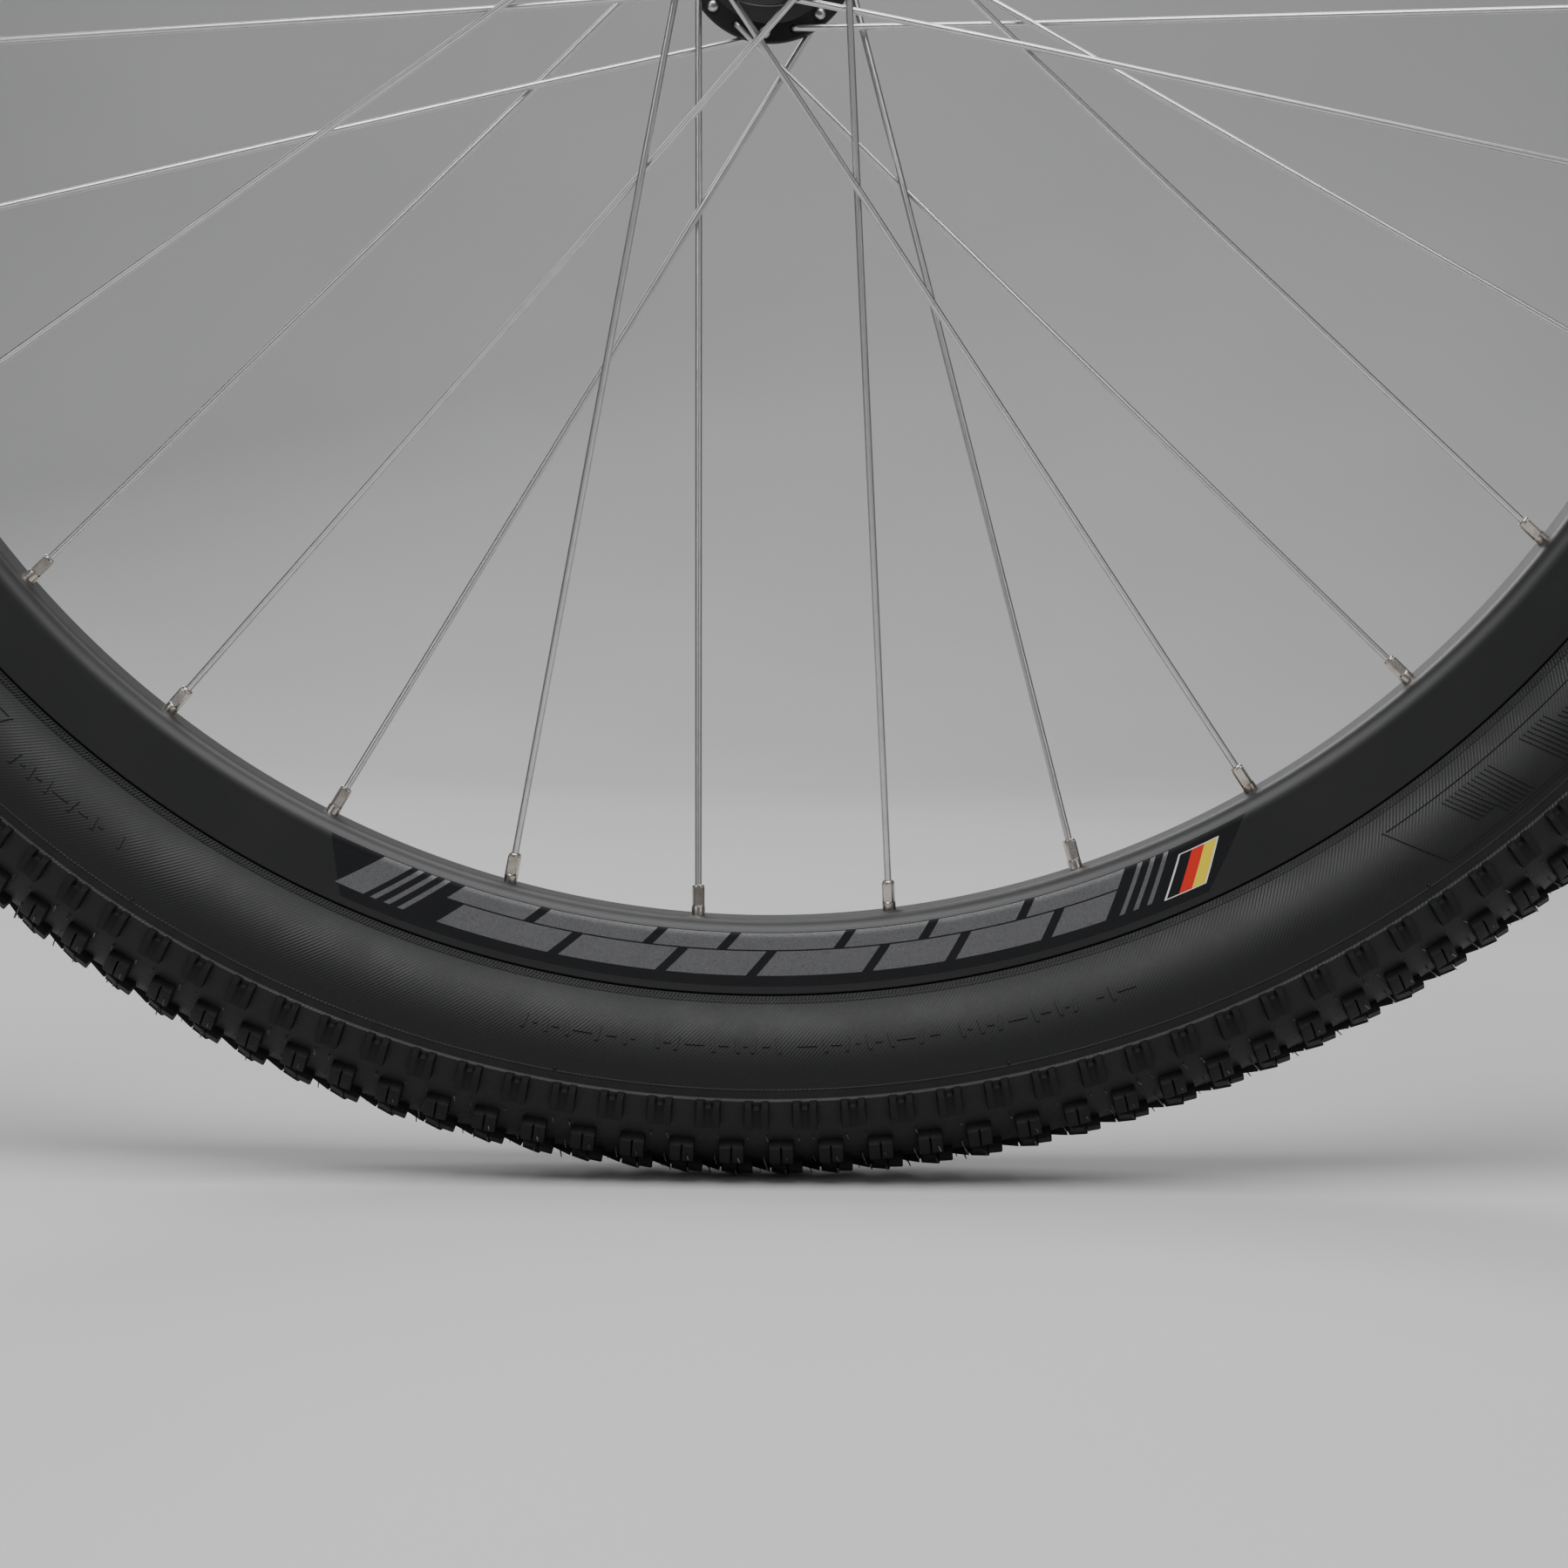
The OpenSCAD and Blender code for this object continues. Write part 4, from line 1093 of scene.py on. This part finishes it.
PIP_R = 322.0
PIP_SIDES = 10
PIP_STATIONS = ((-0.1, 0.5), (0.25, 0.45), (0.45, 0.25))
PIPS = 16
FIRST_PIP = -32.5


def dashes(shape, side, start, end):
    """Thin upright lines and short level dashes in turn, with a wider space now and then."""
    a, i = start, 0
    while a < end:
        level = i % 2 == 1
        width = DASH_WIDTHS[i % len(DASH_WIDTHS)] if level else DASH_LINE
        if i % 11 == 10:
            a += 0.7
        corners = bar(a, width, DASH_TOP, DASH_FOOT, DASH_LEAN if i % 3 else -DASH_LEAN)
        if level:
            corners = bar(a, width, *DASH_LEVEL)
        patch(shape, sidewall, side, corners, MARK_LIFT, MARK_ROOT, 0.4, 1.3, 0.04)
        a += width + DASH_SPACE
        i += 1


def panel(shape, side, start, span):
    """A thin frame with slanted ends, holding blocks of fine ribs."""
    end = start + span
    low, high = start + PANEL_SLOPE, end - PANEL_SLOPE
    frame_bars = (
        bar(start, span, PANEL_TOP, PANEL_TOP + PANEL_LINE),
        bar(low, high - low, PANEL_FOOT - PANEL_LINE, PANEL_FOOT),
        bar(start, PANEL_EDGE, PANEL_TOP, PANEL_FOOT, PANEL_SLOPE),
        bar(end - PANEL_EDGE, PANEL_EDGE, PANEL_TOP, PANEL_FOOT, -PANEL_SLOPE),
    )
    for corners in frame_bars:
        patch(shape, sidewall, side, corners, MARK_LIFT, MARK_ROOT, 0.5, 1.4, 0.06)
    for b in range(int((span - 7.0) / RIB_BLOCK)):
        for i in range(RIBS):
            a = start + 3.4 + b * RIB_BLOCK + i * RIB_PITCH
            top = RIB_TOP + (2.4 if b % 2 and i > 6 else 0.0)
            foot = RIB_FOOT - (3.0 if not b % 2 and i < 5 else 0.0)
            corners = bar(a, RIB_WIDTH, top, foot, RIB_LEAN)
            patch(shape, sidewall, side, corners, RIB_LIFT, MARK_ROOT, 0.5, 1.6, 0.03)


def pip(shape, side, a):
    """A small round dome on the sidewall."""
    rings = []
    for height, radius in PIP_STATIONS:
        ring = []
        for i in range(PIP_SIDES):
            t = math.tau * i / PIP_SIDES
            r, y = sidewall(PIP_R + radius * math.sin(t), height)
            turn = a + math.degrees(radius * math.cos(t) / PIP_R)
            ring.append(on_wheel(r, turn, side * y))
        rings.append(ring)
    shape.loft(rings)


def sidewall_marks():
    shape = Shape()
    for side in (-1, 1):
        for start, end in DASH_SPANS:
            dashes(shape, side, start, end)
        for start, span in PANELS:
            panel(shape, side, start, span)
        for i in range(PIPS):
            pip(shape, side, FIRST_PIP + i * 360.0 / PIPS)
    add_piece("sidewall_marks", plain_mesh("sidewall_marks", shape), SIDEWALL, "tyre_rubber")


sidewall_marks()

# ---- Spokes and nipples, worked out in the plane that holds each spoke and the Y direction ----


def spoke_side(k):
    """+1 for the spokes of the right flange, and -1 for the left."""
    return 1 if k % 2 == 0 else -1


def spoke_lean(k):
    """+1 for the spokes that lie outside their flange, and -1 inside."""
    return -1 if k % 4 in (0, 3) else 1


def spoke_point(k, across, y, run):
    """A point of spoke k: across its plane, sideways, and from the hub hole towards the rim."""
    lean = spoke_lean(k)
    a = math.radians(FIRST_NIPPLE + k * NIPPLE_PITCH)
    hole_x = HOLE_R * math.sin(lean * CROSS_TURN)
    hole_z = HOLE_R * math.cos(CROSS_TURN)
    turn = math.atan2(-hole_x, BED_R - hole_z)
    x = across * math.cos(turn) + run * math.sin(turn) + hole_x
    z = across * math.sin(turn) - run * math.cos(turn) - hole_z
    return (x * math.cos(a) - z * math.sin(a), spoke_side(k) * y, x * math.sin(a) + z * math.cos(a))


def cross_y(k):
    """Sideways place of spoke k where it meets the spoke it crosses last."""
    return FLANGE_Y[spoke_side(k)] * (1 - CROSS_RUN / SPOKE_RUN) - spoke_lean(k) * CROSS_LIE


def ring_in_plane(k, centre, way, radii):
    """A ring of points square to a direction in the spoke's plane; radii go round it."""
    size = len(radii)
    normal = (-way[1], way[0])
    ring = []
    for i, radius in enumerate(radii):
        t = math.tau * i / size
        y = centre[0] + normal[0] * radius * math.cos(t)
        run = centre[1] + normal[1] * radius * math.cos(t)
        ring.append(spoke_point(k, radius * math.sin(t), y, run))
    return ring


def unit(y, run):
    length = math.hypot(y, run)
    return y / length, run / length


def between(start, end, share):
    return start[0] + (end[0] - start[0]) * share, start[1] + (end[1] - start[1]) * share


# The spoke's head along the hole's axis, as (place, radius)
SPOKE_HEAD = (
    (-1.3, 0.5),
    (-1.25, 1.0),
    (-0.95, 1.45),
    (-0.5, 1.75),
    (-0.1, 1.8),
    (0.0, 1.7),
    (0.02, 1.04),
)
SPOKE_SIDES = 12
ELBOW_STEPS = 8


def spoke(k):
    """Spoke k: its head, its elbow, a run to the last crossing and a run to the rim."""
    out = spoke_lean(k)
    flange = FLANGE_Y[spoke_side(k)]
    corner = (flange + out * SPOKE_LIE, 0.0)
    kink = (cross_y(k), CROSS_RUN)
    seat = (0.0, SPOKE_RUN)
    way = unit(kink[0] - corner[0], kink[1] - corner[1])
    last = unit(seat[0] - kink[0], seat[1] - kink[1])
    bend = math.acos(way[0] * out)
    bend_len = ELBOW_R * math.tan(bend / 2)
    head = flange - out * (FLANGE_T / 2 + FIT_GAP / 2)
    path = []
    for step, radius in SPOKE_HEAD:
        path.append(((head + out * step, 0.0), (float(out), 0.0), radius))
    elbow_y = corner[0] - out * bend_len
    for i in range(ELBOW_STEPS + 1):
        t = bend * i / ELBOW_STEPS
        centre = (elbow_y + out * ELBOW_R * math.sin(t), ELBOW_R - ELBOW_R * math.cos(t))
        path.append((centre, (out * math.cos(t), math.sin(t)), SPOKE_R))
    for share in (0.3, 0.6, 0.93):
        path.append((between(corner, kink, share), way, SPOKE_R))
    path.append((kink, unit(way[0] + last[0], way[1] + last[1]), SPOKE_R))
    for share in (0.03, 0.25, 0.5, 0.75, 1.0):
        path.append((between(kink, seat, share), last, SPOKE_R))
    rings = [ring_in_plane(k, spot, heading, [r] * SPOKE_SIDES) for spot, heading, r in path]
    return Shape().loft(rings)


# The nipple from its head to its mouth, as (height, half width over the flats, largest radius).
# A half width of 9 mm leaves the section round.
NIPPLE_SIDES = 16
NIPPLE_SECTIONS = [
    (-2.0, 9.0, 1.8),
    (-1.0, 9.0, 1.95),
    (1.9, 9.0, 1.95),
    (2.15, 9.0, 1.9),
    (2.35, 1.66, 2.0),
    (2.9, 1.65, 2.24),
    (5.2, 1.65, 2.24),
    (7.2, 1.65, 2.24),
    (7.55, 1.62, 2.05),
    (7.75, 9.0, 1.78),
    (8.15, 9.0, 1.72),
    (8.38, 9.0, 1.5),
    (8.4, 9.0, 1.15),
    (7.9, 9.0, 1.03),
]


def nipple(k):
    """Nipple k, in line with its spoke's last run."""
    way = unit(cross_y(k), CROSS_RUN - SPOKE_RUN)
    rings = []
    for height, flat, most in NIPPLE_SECTIONS:
        radii = []
        for i in range(NIPPLE_SIDES):
            t = math.tau * (i + 0.5) / NIPPLE_SIDES
            radii.append(min(most, flat / max(abs(math.cos(t)), abs(math.sin(t)))))
        centre = (way[0] * height, SPOKE_RUN + way[1] * height)
        rings.append(ring_in_plane(k, centre, way, radii))
    return Shape().loft(rings)


SPOKE_GROUPS = {
    "right_leading": 0,
    "right_trailing": 2,
    "left_leading": 3,
    "left_trailing": 1,
}
for group, first in SPOKE_GROUPS.items():
    node_name = f"spokes_{group}"
    mesh = repeated_mesh(node_name, spoke(first), SPOKE_STEEL, count=SPOKES_ALIKE)
    add_piece(f"drawn_{node_name}", mesh, SPOKE_STEEL, "spoke_steel", [node_name], 40.0)
for group, numbers in {"left": (1, 3), "right": (0, 2)}.items():
    node_name = f"nipples_{group}"
    meshes = []
    for k in numbers:
        meshes.append(
            repeated_mesh(f"{node_name}_{k}", nipple(k), NIPPLE_PLATE, count=SPOKES_ALIKE)
        )
    mesh = joined(node_name, meshes)
    add_piece(f"plated_{node_name}", mesh, NIPPLE_PLATE, "plated_brass", [node_name], 28.0)

# ---- Camera ----

CAMERA_PLACE = Vector((10.65, -880.3, -196.25)) * MM
CAMERA_YAW = math.radians(-0.264)
CAMERA_PITCH = math.radians(2.788)
CAMERA_ROLL = math.radians(-0.596)
CAMERA_LENS = 71.3


def add_camera():
    """A level camera in front of the wheel, turned by a yaw, a pitch and a roll."""
    data = bpy.data.cameras.new("view_camera")
    data.lens = CAMERA_LENS
    data.sensor_width = 36.0
    data.clip_start = 0.01
    data.clip_end = 50.0
    level = Vector((math.cos(CAMERA_YAW), -math.sin(CAMERA_YAW), 0.0))
    ahead = Vector(
        (
            math.cos(CAMERA_PITCH) * math.sin(CAMERA_YAW),
            math.cos(CAMERA_PITCH) * math.cos(CAMERA_YAW),
            -math.sin(CAMERA_PITCH),
        )
    )
    upright = level.cross(ahead)
    right = level * math.cos(CAMERA_ROLL) - upright * math.sin(CAMERA_ROLL)
    up = level * math.sin(CAMERA_ROLL) + upright * math.cos(CAMERA_ROLL)
    camera = bpy.data.objects.new("view_camera", data)
    bpy.context.scene.collection.objects.link(camera)
    turn = Matrix((right, up, -ahead)).transposed().to_4x4()
    camera.matrix_world = Matrix.Translation(CAMERA_PLACE) @ turn
    bpy.context.scene.camera = camera


add_camera()

# ---- Floor, backdrop and lights, in metres ----

FLOOR_GAP = 0.0001
FLOOR_FRONT = -6.0
FLOOR_BACK = 2.2
SWEEP_R = 1.2
SWEEP_STEPS = 12
BACKDROP_TOP = 6.0
STAGE_HALF_W = 7.0
# Each light's name, place, aim, size and power in watts
LIGHTS = (
    ("overhead_box", (0.0, -0.75, 1.45), (0.0, -0.1, -0.3), 1.5, 42.0),
    ("front_left", (-1.5, -1.7, 0.7), (0.0, 0.0, -0.15), 0.7, 4.0),
    ("front_right", (1.6, -1.5, 0.5), (0.0, 0.0, -0.15), 0.7, 2.5),
    ("back_box", (0.4, 1.2, 1.6), (0.0, 1.4, -0.35), 1.2, 16.0),
    ("rear_fill", (-0.9, 2.2, 1.3), (0.0, 0.0, -0.1), 1.2, 22.0),
)
WORLD_COLOUR = (0.9, 0.93, 1.0, 1.0)
WORLD_STRENGTH = 0.18


def stage_finish():
    f = Finish("pale_floor", Specular_IOR_Level=0.2)
    cloud = f.noise(0.004, 2.0)
    f.colour(f.mix(cloud, grey(0.56, 0.005), grey(0.62, 0.005)))
    f.rough(0.6 + 0.1 * cloud)
    return f.material


def add_stage():
    """A pale floor that curves up into a backdrop far behind."""
    floor_z = cad_low.z - FLOOR_GAP
    mesh = bpy.data.meshes.new("studio_sweep")
    profile = [(FLOOR_FRONT, 0.0), (FLOOR_BACK, 0.0)]
    for i in range(1, SWEEP_STEPS + 1):
        t = math.radians(90 * i / SWEEP_STEPS)
        profile.append((FLOOR_BACK + SWEEP_R * math.sin(t), SWEEP_R - SWEEP_R * math.cos(t)))
    profile.append((FLOOR_BACK + SWEEP_R, BACKDROP_TOP))
    points, faces = [], []
    for x in (-STAGE_HALF_W, STAGE_HALF_W):
        points += [(x, y, floor_z + z) for y, z in profile]
    for i in range(len(profile) - 1):
        faces.append((i, i + 1, i + 1 + len(profile), i + len(profile)))
    mesh.from_pydata(points, [], faces)
    for face in mesh.polygons:
        face.use_smooth = True
    mesh.materials.append(stage_finish())
    sweep = bpy.data.objects.new("studio_sweep", mesh)
    bpy.context.scene.collection.objects.link(sweep)


add_stage()


def add_lights():
    """Square soft boxes and a faint even sky."""
    for name, place, aim, size, power in LIGHTS:
        data = bpy.data.lights.new(name, "AREA")
        data.shape = "SQUARE"
        data.size = size
        data.energy = power
        light = bpy.data.objects.new(name, data)
        bpy.context.scene.collection.objects.link(light)
        light.location = place
        way = Vector(aim) - Vector(place)
        light.rotation_euler = way.to_track_quat("-Z", "Y").to_euler()
    world = bpy.data.worlds.new("studio")
    world.use_nodes = True
    sky = world.node_tree.nodes["Background"]
    sky.inputs["Color"].default_value = WORLD_COLOUR
    sky.inputs["Strength"].default_value = WORLD_STRENGTH
    bpy.context.scene.world = world


add_lights()
